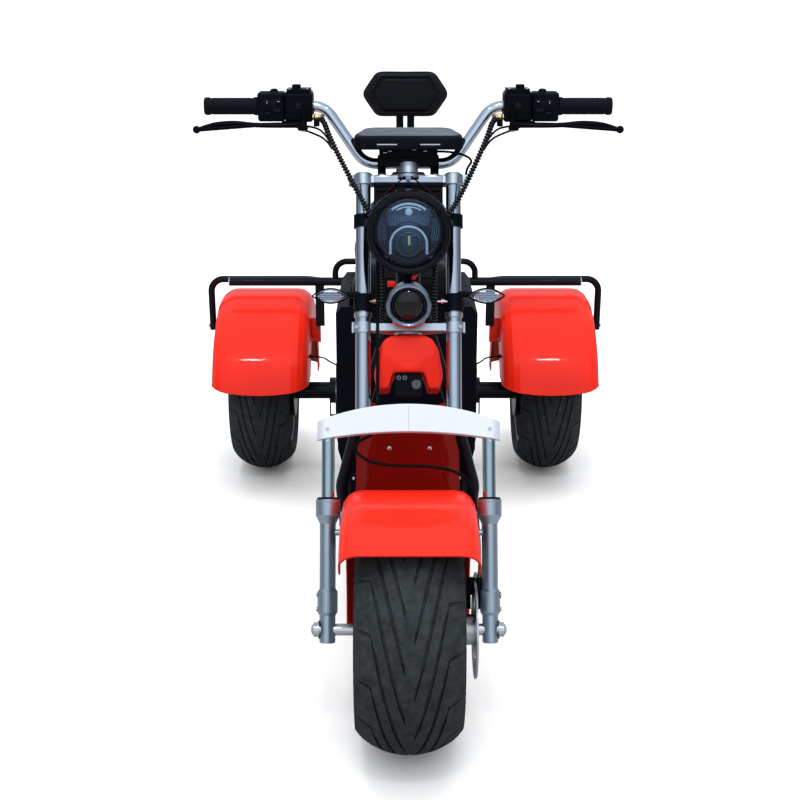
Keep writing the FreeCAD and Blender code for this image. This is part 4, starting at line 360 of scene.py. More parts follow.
class Kit:
    """Gathers small forms into one mesh that carries several materials."""

    def __init__(self):
        self.verts, self.faces, self.which, self.materials = [], [], [], []

    def add(self, verts, faces, material, matrix=Matrix()):
        if material not in self.materials:
            self.materials.append(material)
        start = len(self.verts)
        self.verts += [matrix @ Vector(v) for v in verts]
        self.faces += [[start + i for i in face] for face in faces]
        self.which += [self.materials.index(material)] * len(faces)

    def grid(self, rows, material, closed=False, matrix=Matrix()):
        """Faces between neighbouring rows of points; closed rows join end to start."""
        width = len(rows[0])
        faces = []
        for low in range(0, width * (len(rows) - 1), width):
            for j in range(width if closed else width - 1):
                k = (j + 1) % width
                faces.append((low + j, low + k, low + width + k, low + width + j))
        self.add([p for row in rows for p in row], faces, material, matrix)

    def lathe(self, matrix, profile, material, steps=40):
        """Turns (radius, height) points about local Z."""
        self.grid([[polar(radius, 360 * i / steps, height) for i in range(steps)]
                   for radius, height in profile], material, True, matrix)

    def take(self, made, material, matrix):
        made.verts.index_update()
        faces = [[v.index for v in f.verts] for f in made.faces]
        self.add([v.co for v in made.verts], faces, material, matrix)
        made.free()

    def round_off(self, made, edges, bevel):
        bmesh.ops.bevel(made, geom=edges, offset=bevel * MM, segments=2, affect="EDGES", profile=0.5)

    def block(self, place, size, material, bevel=1):
        """A box with rounded edges, at a point or under a matrix."""
        made = bmesh.new()
        bmesh.ops.create_cube(made, size=1.0)
        bmesh.ops.scale(made, vec=mm(*size), verts=made.verts)
        if bevel:
            self.round_off(made, made.edges[:], bevel)
        self.take(made, material, Matrix.Translation(place) if isinstance(place, Vector) else place)

    def plate(self, matrix, outline, thick, material, bevel):
        """A flat plate cut to an outline in local XY, standing up along local Z."""
        made = bmesh.new()
        face = made.faces.new([made.verts.new(mm(x, y, 0)) for x, y in outline])
        up = bmesh.ops.extrude_face_region(made, geom=[face])
        bmesh.ops.translate(made, vec=mm(0, 0, thick),
                            verts=[v for v in up["geom"] if isinstance(v, bmesh.types.BMVert)])
        bmesh.ops.recalc_face_normals(made, faces=made.faces)
        rim = [e for e in made.edges if abs(e.verts[0].co.z - e.verts[1].co.z) < 1e-7]
        self.round_off(made, rim, bevel)
        self.take(made, material, matrix)

    def pipe(self, points, radius, material, steps=10, ends=True):
        """A round bar through the points."""
        line = [Vector(p) for p in points]
        rows = []
        last = None
        for i, p in enumerate(line):
            way = (line[min(i + 1, len(line) - 1)] - line[max(i - 1, 0)]).normalized()
            side = (last - way * last.dot(way)).normalized() if last else way.orthogonal().normalized()
            last = side
            other = way.cross(side)
            turns = [TAU * j / steps for j in range(steps)]
            rows.append([p + (side * math.cos(a) + other * math.sin(a)) * radius * MM for a in turns])
        self.grid(rows, material, True)
        if ends:
            self.add(rows[0], [list(range(steps))[::-1]], material)
            self.add(rows[-1], [list(range(steps))], material)

    def rings(self, line, radius, material):
        """Raised rings at even steps along a line, as on a sleeved conduit."""
        pitch = 6.6 * MM
        profile = [(radius * 0.65, -2.2), (radius, -1.2), (radius, 1.2), (radius * 0.65, 2.2)]
        ahead = pitch / 2
        for a, b in zip(line, line[1:]):
            length = (b - a).length
            while ahead < length:
                self.lathe(aim(a.lerp(b, ahead / length), b - a), profile, material, 12)
                ahead += pitch
            ahead -= length

    def bolt(self, place, way, radius, kind="socket", tall=None, material=STEEL):
        """A hexagon head on its washer, a socket cap or a dome, standing on a surface."""
        matrix = aim(place, way)
        tall = tall or radius * 0.7
        steps = 18
        if kind == "hex":
            profile = [(radius * 0.8, 0), (radius, 0), (radius, tall * 0.85), (radius * 0.88, tall),
                       (0, tall)]
            steps = 6
        elif kind == "socket":
            profile = [(radius, 0), (radius, tall * 0.85), (radius * 0.9, tall), (radius * 0.55, tall),
                       (radius * 0.55, tall * 0.45), (0, tall * 0.45)]
        else:
            angles = [math.pi / 10 * i for i in range(6)]
            profile = [(radius * math.cos(a), tall * math.sin(a)) for a in angles]
        self.lathe(matrix, profile, material, steps)
        if kind == "hex":
            washer = radius * 1.3
            self.lathe(matrix, [(washer, 0), (washer, tall * 0.2), (0, tall * 0.2)], material, 20)

    def bolt_circle(self, face, count, circle, height, radius, kind, tall):
        """Bolts at even steps about a face's local Z."""
        way = face.to_3x3() @ Z
        for i in range(count):
            self.bolt(face @ polar(circle, 360 * (i + 0.5) / count, height), way, radius, kind, tall)

    def mirror(self):
        """Adds the mirror image of everything gathered so far across the middle plane."""
        start = len(self.verts)
        self.verts += [Vector((-v.x, v.y, v.z)) for v in self.verts]
        self.faces += [[start + i for i in reversed(face)] for face in self.faces]
        self.which += self.which[:]

    def done(self, name, body, slot, angle=32):
        mesh = bpy.data.meshes.new(name)
        mesh.from_pydata([tuple(v) for v in self.verts], [], self.faces)
        for material in self.materials:
            mesh.materials.append(material)
        mesh.polygons.foreach_set("material_index", self.which)
        mesh.validate()
        smooth(mesh, angle)
        piece = new_piece(name, mesh)
        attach(piece, body)
        return piece


# Tyres: a grid that follows the long V grooves, so that their edges are crisp

PITCHES = 14
PITCH = TAU / PITCHES
ROWS = 16
CROWN_R = 0.13067 + 0.0135
SHOULDER = 0.0727
GROOVE_RUN = 0.065
GROOVE_DEPTH = 0.006


def smoothstep(low, high, x):
    t = min(1.0, max(0.0, (x - low) / (high - low)))
    return t * t * (3 - 2 * t)


def tyre_radius(x):
    """The outer radius of the tread at a distance from the middle plane."""
    if x <= 0.084:
        return WHEEL_R - (CROWN_R - math.sqrt(CROWN_R ** 2 - x * x))
    t = (x - 0.084) / 0.0195
    return 0.2115 - 0.0175 * t - 0.006 * t * (t - 0.55)


def groove_shift(x):
    """How far round the wheel a groove has run when it reaches this distance from the middle."""
    if x >= SHOULDER:
        return 0.028 * (x - SHOULDER) / 0.02
    t = (SHOULDER - x) / GROOVE_RUN
    return -2.72 * PITCH * (t + 0.22 * t * (1 - t)) * smoothstep(0, 0.09, t)


def groove_width(x):
    t = max(0.0, (SHOULDER - x) / GROOVE_RUN)
    return PITCH * (0.075 + 0.21 * smoothstep(0, 0.2, t) - 0.11 * smoothstep(0.6, 1, t))


def groove_depth(x):
    return GROOVE_DEPTH * smoothstep(0.0075, 0.012, x) * (1 - 0.75 * smoothstep(0.088, 0.101, x))


def tyre(name, x_middle, y_middle, body, node, share=1.0):
    columns = [0.0045] + [0.0077 + 0.0025 * i for i in range(26)] + [
        SHOULDER, 0.0745, 0.077, 0.080, 0.084, 0.088, 0.092, 0.096, 0.0995, 0.1025]
    wall = [(0.1034, 0.1915), (0.1028, 0.186), (0.1028, 0.184), (0.1032, 0.183), (0.1022, 0.177),
            (0.0985, 0.1705), (0.0925, 0.1655), (0.0868, 0.1642)]
    rows = []
    for i in range(PITCHES * ROWS + 1):
        j = i % ROWS
        row = []
        for side in SIDES:
            turn = (i // ROWS) * PITCH - (0.45 * PITCH if side > 0 else 0.0)
            ring = []
            for x in columns:
                wide = groove_width(x)
                if j < 4:
                    local = (0.0, 0.12, 0.88, 1.0)[j] * wide
                    drop = groove_depth(x) if j in (1, 2) else 0.0
                else:
                    local = wide + (PITCH - wide) * (j - 3) / (ROWS - 3)
                    drop = 0.0022 * (j % 2) * smoothstep(0.089, 0.094, x)
                ring.append((x, tyre_radius(x) - drop, turn + local + groove_shift(x)))
            ring += [(x, r, turn + PITCH * j / ROWS + 0.04) for x, r in wall]
            row += [(x_middle + side * x * share, y_middle - r * math.cos(a), WHEEL_R + r * math.sin(a))
                    for x, r, a in (ring[::-1] if side < 0 else ring)]
        rows.append(row)
    kit = Kit()
    kit.grid(rows, TYRE)
    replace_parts(kit.done(name, body, "tyre_rubber", 40), node)


tyre("front_tread", 0, AXLE_Y, "front_wheel", "front_tyre")
tyre("rear_tread_left", -TRACK / 2, REAR_Y, "rear_wheel_left", "rear_tyre_left", REAR_TYRE_SHARE)
tyre("rear_tread_right", TRACK / 2, REAR_Y, "rear_wheel_right", "rear_tyre_right", REAR_TYRE_SHARE)


# Cords: smooth lines through the points of their routes

def routed(points, fineness=12):
    """The smooth line of a cord that is led through the points."""
    curve = bpy.data.curves.new("route", "CURVE")
    curve.dimensions = "3D"
    curve.resolution_u = fineness
    spline = curve.splines.new("NURBS")
    spline.points.add(len(points) - 1)
    for knot, point in zip(spline.points, points):
        knot.co = (*point, 1.0)
    spline.order_u = 3
    spline.use_endpoint_u = True
    holder = bpy.data.objects.new("route", curve)
    mesh = bpy.data.meshes.new_from_object(holder)
    line = [v.co.copy() for v in mesh.vertices]
    bpy.data.meshes.remove(mesh)
    bpy.data.objects.remove(holder)
    bpy.data.curves.remove(curve)
    return line


kit = Kit()
for side, elbow in ((-1, 90), (1, 98)):
    sleeve = routed([at(192.7 * side, 402, 1185.5), at(173 * side, 402, 1185.5)] + [
        on_fork(x * side, back, along) for x, back, along in (
            (161, -37, 985), (elbow, -37, 846), (70, -37, 815), (52, -24, 740),
            (52, -24, 643.9), (52, -6, 619.9), (52, -6, 607.9))], 24)
    kit.pipe(sleeve, 3.8, HOSE)
    kit.rings(sleeve, 6.2, SLEEVE)
kit.pipe(routed([at(59.3, 380, 1119), at(95.3, 380, 1119), on_fork(134, -8, 945.3),
                 on_fork(118, 0, 928.3), on_fork(118, 0, 914.3)]), 2.4, HOSE)
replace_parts(kit.done("control_sleeves", "steering", "hose_rubber", 60), "conduits")

kit = Kit()
kit.pipe(routed([on_fork(*p) for p in (
    (-62, -7, 835.4), (-62, -7, 810.4), (-62, -18, 760.4), (-62, -18, 461.5),
    (-62, 34, 461.5), (-62, 34, 389.5), (-108, 34, 372.5), (-108, 34, 348.5),
    (-62, 34, 323.5), (88, 34, 323.5), (143, 34, 273.5), (143, 34, 100.3))], 16),
    3.3, HOSE, 12)
kit.lathe(FORK @ move(143, 34, 100.3),
          [(5.2, 0), (5.2, 10), (4.2, 12), (4.2, 22), (3.4, 24)], BRASS, 6)
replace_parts(kit.done("hose_line", "steering", "hose_rubber", 60), "brake_hose")

kit = Kit()
for side in SIDES:
    start, end = at(150 * side, 1120.3, 405), at(278.2 * side, 1300.3, 405)
    kit.pipe(routed([start, at(150 * side, 1160.3, 405), at(215 * side, 1240.3, 405),
                     at(238.2 * side, 1300.3, 405), end]), 2.4, HOSE)
    kit.lathe(aim(start, BACKWARD), [(6, 0), (6, 4), (3.4, 10)], GRIP_RUBBER, 16)
    kit.lathe(aim(end, (-side, 0, 0)), [(6, 0), (6, 3), (3.4, 8)], GRIP_RUBBER, 16)
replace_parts(kit.done("fender_leads", "chassis", "hose_rubber", 60), "fender_cables")

kit = Kit()
for side in SIDES:
    for inner, low, out in ((157, 1144, 226), (154, 1133, 236)):
        kit.pipe(routed([at(out * side, 404, 1168), at((out - 36) * side, 392, low + 24),
                         at((inner + 10) * side, 380, low + 10),
                         at(inner * side, 371, low - 8)]), 2.2, HOSE, 8)
kit.done("bar_wires", "steering", "hose_rubber", 60)


# Headlight: what lies behind the lens, with its inner parts glowing as painted light

def arc(radius, start, stop, steps, height, up=0):
    return [polar(radius, start + (stop - start) * i / steps, height) + mm(0, up, 0)
            for i in range(steps + 1)]


def lamp_pipe(points, radius, material, steps=8):
    kit.pipe([lamp @ p for p in points], radius, material, steps)


lamp = aim(at(0, 220, 983), FORWARD)
kit = Kit()
kit.lathe(lamp, [(67.5, -13.5), (65.5, -19), (62.5, -21), (60, -24)], DARK_CHROME, 64)
kit.lathe(lamp, [(60, -24), (54, -40), (0, -46)], NAVY, 48)
kit.lathe(lamp, [(82.2, -0.5), (79.5, 3.5), (74.5, 4.5), (70, 2.5), (68.4, -3)],
          BLACK_GLOSS, 72)
# upper ribbed bowl, glowing with painted light
for i in range(15):
    x = -42 + 84 * i / 15
    rows = []
    for j in range(7):
        up = 10 + 34 * j / 6
        deep = -38 + 12 * abs(j / 3 - 1) ** 2
        rows.append([mm(x, up, deep), mm(x + 2.8, up, deep + 1.2), mm(x + 5.6, up, deep)])
    kit.grid(rows, LAMP_BLUE, matrix=lamp)
for side in SIDES:
    kit.block(lamp @ move(44 * side, 24, -32), (3, 26, 14), DARK_CHROME)
kit.block(lamp @ move(0, 45.2, -32), (74, 3.5, 14), DARK_CHROME)
# a small glowing dome at the top of the bowl: a painted highlight
kit.lathe(lamp @ move(0, 38, -24.5), [(7.5, 0), (5.5, 3), (0, 4)], LAMP_ARC, 24)
# bright arcs, whose glow is a painted reflection on their chrome
lamp_pipe(arc(53.5, 52, 128, 14, -24), 2.6, LAMP_ARC)
lamp_pipe(arc(47.5, 60, 120, 10, -22), 1.4, LAMP_ARC)
lamp_pipe([mm(36, -46, -24)] + arc(36, 0, 180, 20, -24, -27) + [mm(-36, -46, -24)],
          2.2, LAMP_ARC)
lamp_pipe([mm(42, -40, -26)] + arc(42.5, 5, 175, 20, -26, -25) + [mm(-42, -40, -26)],
          1.6, DARK_CHROME)
# projector with its chip
projector = lamp @ move(0, -27, 0)
kit.lathe(projector, [(33, -40), (33, -28), (26, -26)], DARK_CHROME)
kit.block(projector @ move(0, 0, -34), (50, 44, 10), TEAL, 3)
kit.lathe(projector, [(23, -29), (19, -24.5), (11, -21), (0, -20)], TEAL, 36)
kit.lathe(projector, [(24, -29), (24.5, -26.5), (22.8, -25.5)], LAMP_BLUE, 36)
kit.block(lamp @ move(1, -18, -19.5), (4.2, 18, 1), LAMP_ON, 0.8)
kit.block(lamp @ move(1, -9, -22), (30, 1.6, 2), LAMP_BLUE, 0.4)
# louvres at both sides
for side, start, stop in ((-1, 146, 208), (1, -28, 34)):
    for i in range(4):
        lamp_pipe(arc(47 + 3.8 * i, start + i * 3, stop - i * 3, 8, -34 + 3 * i), 1.1,
                  LAMP_BLUE, 6)
    kit.block(lamp @ move(47 * side, -22, -33) @ Matrix.Rotation(0.5 * side, 4, "Z"),
              (8, 16, 6), DARK_CHROME)
kit.done("headlight_inside", "steering", "chrome")

kit = Kit()
kit.lathe(lamp, [(83.8, -6), (83.8, -16)], BLACK_GLOSS, 72)
for degrees in (35, 145, 215, 325):
    kit.bolt(lamp @ polar(74.5, degrees, 4), FORWARD, 2.6, "socket", 2, BLACK_METAL)
for i in range(9):
    kit.block(lamp @ Matrix.Rotation(math.radians(20 * i + 10), 4, "Z") @ move(58.5, 0, -64)
              @ Matrix.Rotation(-0.38, 4, "Y"), (2.5, 3, 50), BLACK_METAL, 0.8)
# ribs and bolt of the cover under the yoke
for i in range(5):
    kit.block(FORK @ move(0, -14.5, 890 - 11 * i), (136 - 6 * i, 4, 3.5), BLACK_PLASTIC)
kit.bolt(on_fork(0, -36.5, 899), FORK_FRONT, 4, "hex", None, RIM_CHROME)
kit.block(FORK @ move(0, -17, 872), (22, 6, 24), BLACK_METAL, 2)
kit.done("lamp_cover_trim", "steering", "black_plastic")
for side, word in ((-1, "left"), (1, "right")):
    kit = Kit()
    kit.pipe(routed([on_fork(12 * side, -18, 903), on_fork(40 * side, -22, 880),
                     on_fork(72 * side, -24, 845), on_fork(76 * side, -22, 800)]),
             1.2, WIRE, 6)
    kit.done("lamp_wire_" + word, "steering", "hose_rubber")

# Spot lamp

spot = aim(at(0, 200, 843), FORWARD)
kit = Kit()
kit.lathe(spot, [(31.8, -3.5), (26, 1.5), (18, 4.5), (9, 6), (0, 6.4)], LENS_BLACK, 56)
kit.lathe(spot, [(43.8, -4), (44.5, 0), (42, 3.5), (38.5, 4.2), (35.5, 2),
                 (33.5, -2)], RIM_CHROME, 64)
kit.lathe(spot, [(32.5, -2.5), (33.5, 0.5), (34.5, -1.5)], BLACK_GLOSS, 56)
kit.pipe([spot @ p for p in arc(46.2, 228, 312, 16, -12)], 3.2, RED, 8)
kit.block(spot @ move(-34, 37, -30), (16, 12, 6), RED, 2)
kit.pipe([spot @ mm(8, 46, -30), spot @ mm(20, 62, -40)], 3.6, RED, 8)
kit.bolt(spot @ mm(0, -50.5, -36), (0, 0, -1), 5, "hex")
kit.done("spot_lamp_front", "steering", "chrome")

# Turn signals: silver ridges inside, black rims, bolts on their clamps

kit = Kit()
for up, wide in ((-7.2, 30), (-3.6, 44), (0, 52), (3.6, 44), (7.2, 30)):
    kit.block(at(156, 251.5, 849.5 + up), (wide, 4, 3.4), REFLECTOR, 1.2)
for sign in SIDES:
    kit.pipe([at(119 + 74 * u, 254.5, 849.5 + sign * 15.2 * 4 * u * (1 - u))
              for u in [i / 24 for i in range(25)]], 1.6, BLACK_PLASTIC, 8)
kit.mirror()
for side, look in ((-1, BRASS), (1, CHROME)):
    kit.bolt(on_fork(66 * side, -12, 652), (side, 0, 0), 4.2, "hex", 8, look)
    kit.pipe([on_fork(78 * side, -12, 652), on_fork(58 * side, -12, 652)], 2.4, look, 8)
kit.done("signal_trim", "steering", "black_plastic")

# Yokes, stem and fork

kit = Kit()
for look, radius, low, high in ((CLAMP, 19.8, 905, 940), (ALUMINIUM, 22.2, 903, 915)):
    kit.lathe(FORK @ move(0, -14, 0),
              [(radius, low), (radius, high - 6), (radius * 0.8, high - 1), (0, high)], look, 36)
cap = FORK @ move(0, STEM_BACK, 928)
kit.lathe(cap, [(21.2, -10), (21.2, 4), (19, 8.5), (13, 12), (6, 13.5), (0, 13.5)],
          CLAMP)
kit.lathe(cap, [(26.5, -14), (26.5, -11), (21.2, -9)], ALUMINIUM)
for side in SIDES:
    tube = FORK @ move(TUBE_X * side, 0, 0)
    kit.bolt(on_fork(118.5 * side, -8.5, 903.5), FORK_FRONT, 5.2)
    kit.lathe(tube @ move(0, 0, 914), [(16.2, -1), (16.2, 3.5), (12, 4.5), (5.5, 4.5),
                                         (5.5, 2), (0, 2)], STEEL, 28)
    kit.lathe(FORK @ move(54 * side, 8, 911), [(13, -2), (13, 5), (9, 7)],
              ALUMINIUM, 24)
    for along in (589.6, 610.5):
        kit.lathe(tube @ move(0, 0, along), [(15.7, -1.2), (20.7, -0.6), (20.7, 0.6),
                                             (15.7, 1.2)], ALUMINIUM, 32)
    kit.bolt(on_fork(103.5 * side, -18.5, 600), fork_way(0.3 * side, -1, 0), 4.2)
    kit.lathe(tube, [(15.5, 620), (18.2, 621), (18.2, 630), (15.5, 631)], STEEL, 32)
web = [(-70, 911.2), (-36, 911.2), (-30, 918), (30, 918), (36, 911.2), (70, 911.2),
       (70, 896.5), (-70, 896.5)]
upright = Matrix.Rotation(math.radians(90), 4, "X")
kit.plate(FORK @ move(0, -12.8, 0) @ upright, web, 2.2, ALUMINIUM, 0.6)
kit.done("yoke_trim", "steering", "fork_aluminium")

kit = Kit()
for side in SIDES:
    out = fork_way(side, 0, 0)
    leg = FORK @ move(LEG_X * side, 0, 0)
    kit.lathe(leg, [(13, 254.5), (21.5, 255), (22.2, 256.8), (20.5, 259.5), (13.2, 260)],
              GRIP_RUBBER, 32)
    for along in (224, 250.5):
        kit.lathe(leg, [(23.8, along - 1.2), (24.6, along), (23.8, along + 1.2)], LEG, 36)
    kit.block(leg @ move(0, -19.8, 54), (2.2, 3, 44), STEEL, 0.6)
    for along in (40, 68):
        kit.bolt(leg @ mm(19.5 * side, -4, along), out, 4)
    kit.lathe(leg @ move(0, 0, -24) @ Matrix.Rotation(math.pi, 4, "X"),
              [(15.6, 0), (13.8, 2), (7, 2.4), (7, 0.4), (0, 0.4)], LEG, 28)
    nut = aim(at(187 * side, 0, 238.5), out)
    kit.lathe(nut, [(14.1, -10.5), (14.3, -9.5), (14.3, -1), (12.8, 0.8), (10.5, 1),
                    (9.5, 3.5), (4, 5.5), (0, 5.5)], STEEL, 6)
    kit.lathe(nut, [(18, -10.5), (18, -8.5), (14.5, -8.5)], STEEL, 28)
    kit.bolt(on_fork(134.8 * side, 0, 206), out, 4.8, "dome")
    for shift in SIDES:
        kit.bolt(on_fork(160.9 * side, -22.2, 383 + 12 * shift), FORK_FRONT, 3.2)
kit.lathe(aim(on_fork(176, 0, 67), (1, 0, 0)), [(7.5, 0), (7.5, 4), (5.5, 6), (0, 6.5)],
          BLACK_METAL, 20)
kit.done("fork_trim", "steering", "leg_aluminium")

kit = Kit()
kit.block(FORK @ move(0, -22.1, 417), (0.8, 0.6, 50), STEEL, 0)
for side in SIDES:
    for x, along in ((TUBE_X, 418), (LEG_X, 392)):
        kit.bolt(on_fork(x * side, 22.1, along), FORK_BACK, 5)
kit.done("bridge_trim", "steering", "bridge_aluminium")

# Handlebar controls: one side gathered, then mirrored


def bar_at(x, back=0, up=0):
    return at(x, 425.03 + back, 1204.5 + up)


bar = aim(bar_at(0), (1, 0, 0))
profile = [(16.3, 306.5), (18.5, 307.5), (18.5, 313.5), (16.8, 314.5)]
for x in [320 + 4.4 * i for i in range(18)]:
    profile += [(16.4, x), (17, x + 0.8), (17, x + 3), (16.4, x + 3.6)]
profile += [(16.4, 403), (17.8, 404.5), (18.1, 408.5), (17.4, 413), (15, 415),
            (10.8, 415.3)]
kit = Kit()
kit.lathe(bar, profile, GRIP_RUBBER, 36)
kit.mirror()
kit.done("grip_ribs", "steering", "black_rubber")

kit = Kit()
# switch pod: rounded neck, knob, buttons
kit.lathe(bar, [(16.5, 308), (19.5, 305), (24.5, 298.5), (26.2, 290), (26.2, 260),
                (24, 252)], BLACK_PLASTIC)
kit.lathe(aim(bar_at(272, -6, 28.5), Z), [(8.5, 0), (8, 4), (6, 6.5), (0, 7.5)],
          BLACK_PLASTIC, 20)
for x, up, wide, tall in ((262, 12, 12, 10), (266, -6, 16, 8),
                          (285, 10, 14, 12), (284, -12, 12, 7)):
    kit.block(bar_at(x, -26.2, up), (wide, 6, tall), BLACK_GLOSS, 1.5)
kit.block(bar_at(262, -29.3, 12), (4, 0.4, 1), ICON, 0)
kit.block(bar_at(285, -29.3, 10), (1, 0.4, 4), ICON, 0)
for x in (256, 300):
    for up in (-12, 12):
        kit.bolt(bar_at(x, 23.2, up), BACKWARD, 2.6, "socket", 1)
# reservoir: cap seam, screws, filler knob, sight glass
kit.block(bar_at(221.5, -4.5, 29.2), (53, 51.5, 1.6), BLACK_METAL, 0.6)
for back in (-23, 7):
    for x in (203.5, 239.5):
        kit.bolt(bar_at(x, back, 36.2), Z, 2.8, "dome", 1.2)
kit.lathe(aim(bar_at(226.5, -6, 36), Z), [(9.2, 0), (9.2, 6), (8, 7.8), (0, 8.2)],
          BLACK_PLASTIC, 24)
sight = aim(bar_at(221.5, -32.5, 4), FORWARD)
kit.lathe(sight, [(7.2, 0), (7.2, 1.6), (5.5, 1.8)], BLACK_GLOSS, 24)
kit.lathe(sight, [(5.5, 0.9), (0, 1.4)], SMOKED, 24)
# lever perch under the reservoir and its pivot
kit.block(bar_at(232, -30, -33), (50, 30, 12), BLACK_METAL, 3)
kit.block(bar_at(214, -26, -41), (20, 22, 10), BLACK_METAL, 3)
kit.bolt(bar_at(211, -36, -24), Z, 4.8, "hex", 3)
kit.bolt(bar_at(211, -36, -44.5), -Z, 4.8, "hex", 3)
# hose union towards the middle
kit.lathe(aim(bar_at(194, -23, -19), (-1, 0, 0)),
          [(6.2, 0), (6.2, 6), (7.8, 6), (7.8, 12), (6, 12), (6, 20),
           (6.6, 21), (4, 24), (0, 24)], BRASS, 6)
kit.block(bar_at(186, -23, -30), (12, 10, 16), BLACK_METAL, 2)
kit.mirror()
kit.done("control_trim", "steering", "black_plastic")


def resample(points, step):
    """Even steps along a line through the points, rounded by a smooth curve."""
    points = [points[0]] + points + [points[-1]]
    dense = []
    for before, a, b, after in zip(points, points[1:], points[2:], points[3:]):
        for t in [k / 16 for k in range(16)]:
            dense.append(0.5 * (2 * a + (b - before) * t + (2 * before - 5 * a + 4 * b - after) * t * t
                                + (3 * a - before - 3 * b + after) * t ** 3))
    dense.append(points[-1])
    out = [dense[0]]
    need = step
    for a, b in zip(dense, dense[1:]):
        length = (b - a).length
        done = 0.0
        while length - done >= need:
            done += need
            out.append(a.lerp(b, done / length))
            need = step
        need -= length - done
    return out + [dense[-1]]


line = resample([bar_at(214, -36, -32), bar_at(250, -47, -33), bar_at(306, -52, -32),
                 bar_at(350, -52, -28), bar_at(390, -52, -31), bar_at(424, -52, -41)], 6 * MM)
rows = []
for i, p in enumerate(line):
    share = i / (len(line) - 1)
    side = (line[min(i + 1, len(line) - 1)] - line[max(i - 1, 0)]).normalized().cross(Z).normalized()
    rows.append([p + side * MM * ((6.2 - 2.2 * share) * math.cos(TAU * k / 12))
                 + Z * MM * ((5.5 - 1.2 * share) * math.sin(TAU * k / 12)) for k in range(12)])
kit = Kit()
kit.grid(rows, BLACK_METAL, True)
ball = [(7.8 * math.cos(a), 7.8 * math.sin(a)) for a in map(math.radians, range(-75, 90, 15))]
kit.lathe(Matrix.Translation(line[-1] + mm(2, 0, 0)), [(0, -7.8)] + ball + [(0, 7.8)], BLACK_METAL, 24)
kit.mirror()
kit.done("lever_blades", "steering", "black_metal")

# Display: textured lid, front with light bars and marks

LID = 1129


def lid_row(inset, up):
    """The display's outline with rounded corners: one half of it, and its mirror image."""
    front = 330
    half, tail = 108 - inset, 94.5 - inset
    row = []
    for x, back, r, start, stop in ((half - 18, front + inset + 18, 18, -90, 0),
                                    (half - 10, front + 50, 10, 0, 20),
                                    (tail - 18, front + 150 - inset - 18, 18, 20, 90)):
        row += [at(x, back, LID + up) + p for p in arc(r, start, stop, 6, 0)]
    return row + [Vector((-p.x, p.y, p.z)) for p in reversed(row)]


kit = Kit()
rows = [lid_row(*p) for p in ((0, 0), (-1, 1), (-1, 20), (0.8, 23.5), (4, 25.8),
                              (7.5, 26.6))]
kit.grid(rows, BLACK_PLASTIC, True)
kit.add(rows[0], [list(range(len(rows[0])))], BLACK_PLASTIC)
rows = [lid_row(*p) for p in ((7.5, 26.2), (8.2, 27.2), (12, 28), (22, 28.4))]
kit.grid(rows, DISPLAY_TOP, True)
kit.add(rows[-1], [list(range(len(rows[-1])))[::-1]], DISPLAY_TOP)
for x in (-42.5, 43):
    kit.block(at(x, 328.4, LID + 10.5), (40, 1.2, 2.2), ICON, 0.4)
    kit.block(at(x, 328.8, LID + 6), (34, 1.6, 4.4), BLACK_GLOSS, 0.8)
    kit.block(at(x * 2.05, 329, LID + 7), (5, 1.6, 10), BLACK_GLOSS, 0.8)
for x, down, wide in ((-37, 7.2, 7), (12, 4.5, 7), (34, 7.2, 7),
                      (-6, 3.5, 2), (-47, 10, 7)):
    kit.block(at(x, 362.8, LID - down), (wide, 1.2, 1.4), ICON, 0.3)
kit.block(at(0, 364, LID - 12), (116, 3, 20), BLACK_PLASTIC)
kit.block(at(0, 480.6, LID + 13), (150, 1.6, 20), LENS_BLACK, 0.6)
for x, wide in ((-50, 10), (-30, 6), (0, 30), (34, 6), (52, 12)):
    kit.block(at(x, 481.6, LID + 13), (wide, 0.4, 3), ICON, 0)
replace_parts(kit.done("display_case", "steering", "display_silver"), "display")


# Pieces made from a solid's own form

def mesh_of(piece):
    bpy.context.view_layer.update()
    return bpy.data.meshes.new_from_object(piece.evaluated_get(bpy.context.evaluated_depsgraph_get()))


def apply(piece, kind, **values):
    """Puts the result of one modifier in the piece's mesh."""
    made = piece.modifiers.new(kind, kind)
    for name, value in values.items():
        setattr(made, name, value)
    piece.data = mesh_of(piece)
    piece.modifiers.clear()


def ease(mesh, rounds):
    made = bmesh.new()
    made.from_mesh(mesh)
    for _ in range(rounds):
        bmesh.ops.smooth_vert(made, verts=made.verts[:], factor=0.5, use_axis_x=True, use_axis_y=True,
                              use_axis_z=True)
    made.to_mesh(mesh)
    made.free()


def remeshed(name, mesh, cell, rounds):
    """A piece built anew from small cells, with its edges rounded."""
    piece = new_piece(name, mesh)
    apply(piece, "REMESH", mode="VOXEL", voxel_size=cell)
    ease(piece.data, rounds)
    return piece


def stand_in(piece, material, body, node):
    coat(piece.data, material, 60)
    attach(piece, body)
    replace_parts(piece, node)


STEPS = 20


def swell(piece, reach, share):
    """Blows the piece up as cloth, and holds it within reach of the form that it had."""
    mesh = piece.data
    began = [v.co.copy() for v in mesh.vertices]
    cloth = piece.modifiers.new("swell", "CLOTH")
    cloth.settings.use_pressure = True
    cloth.settings.uniform_pressure_force = 4
    cloth.settings.quality = 3
    cloth.settings.effector_weights.gravity = 0
    cloth.point_cache.frame_start = 1
    cloth.point_cache.frame_end = STEPS
    for step in range(1, STEPS + 1):
        bpy.context.scene.frame_set(step)
    swollen = mesh_of(piece)
    piece.modifiers.clear()
    bpy.context.scene.frame_set(1)
    for v, first, last in zip(mesh.vertices, began, swollen.vertices):
        way = Vector([(last.co[i] - first[i]) * share[i] for i in range(3)])
        v.co = first + way * min(1.0, reach / max(way.length, 1e-9))
    ease(mesh, 2)


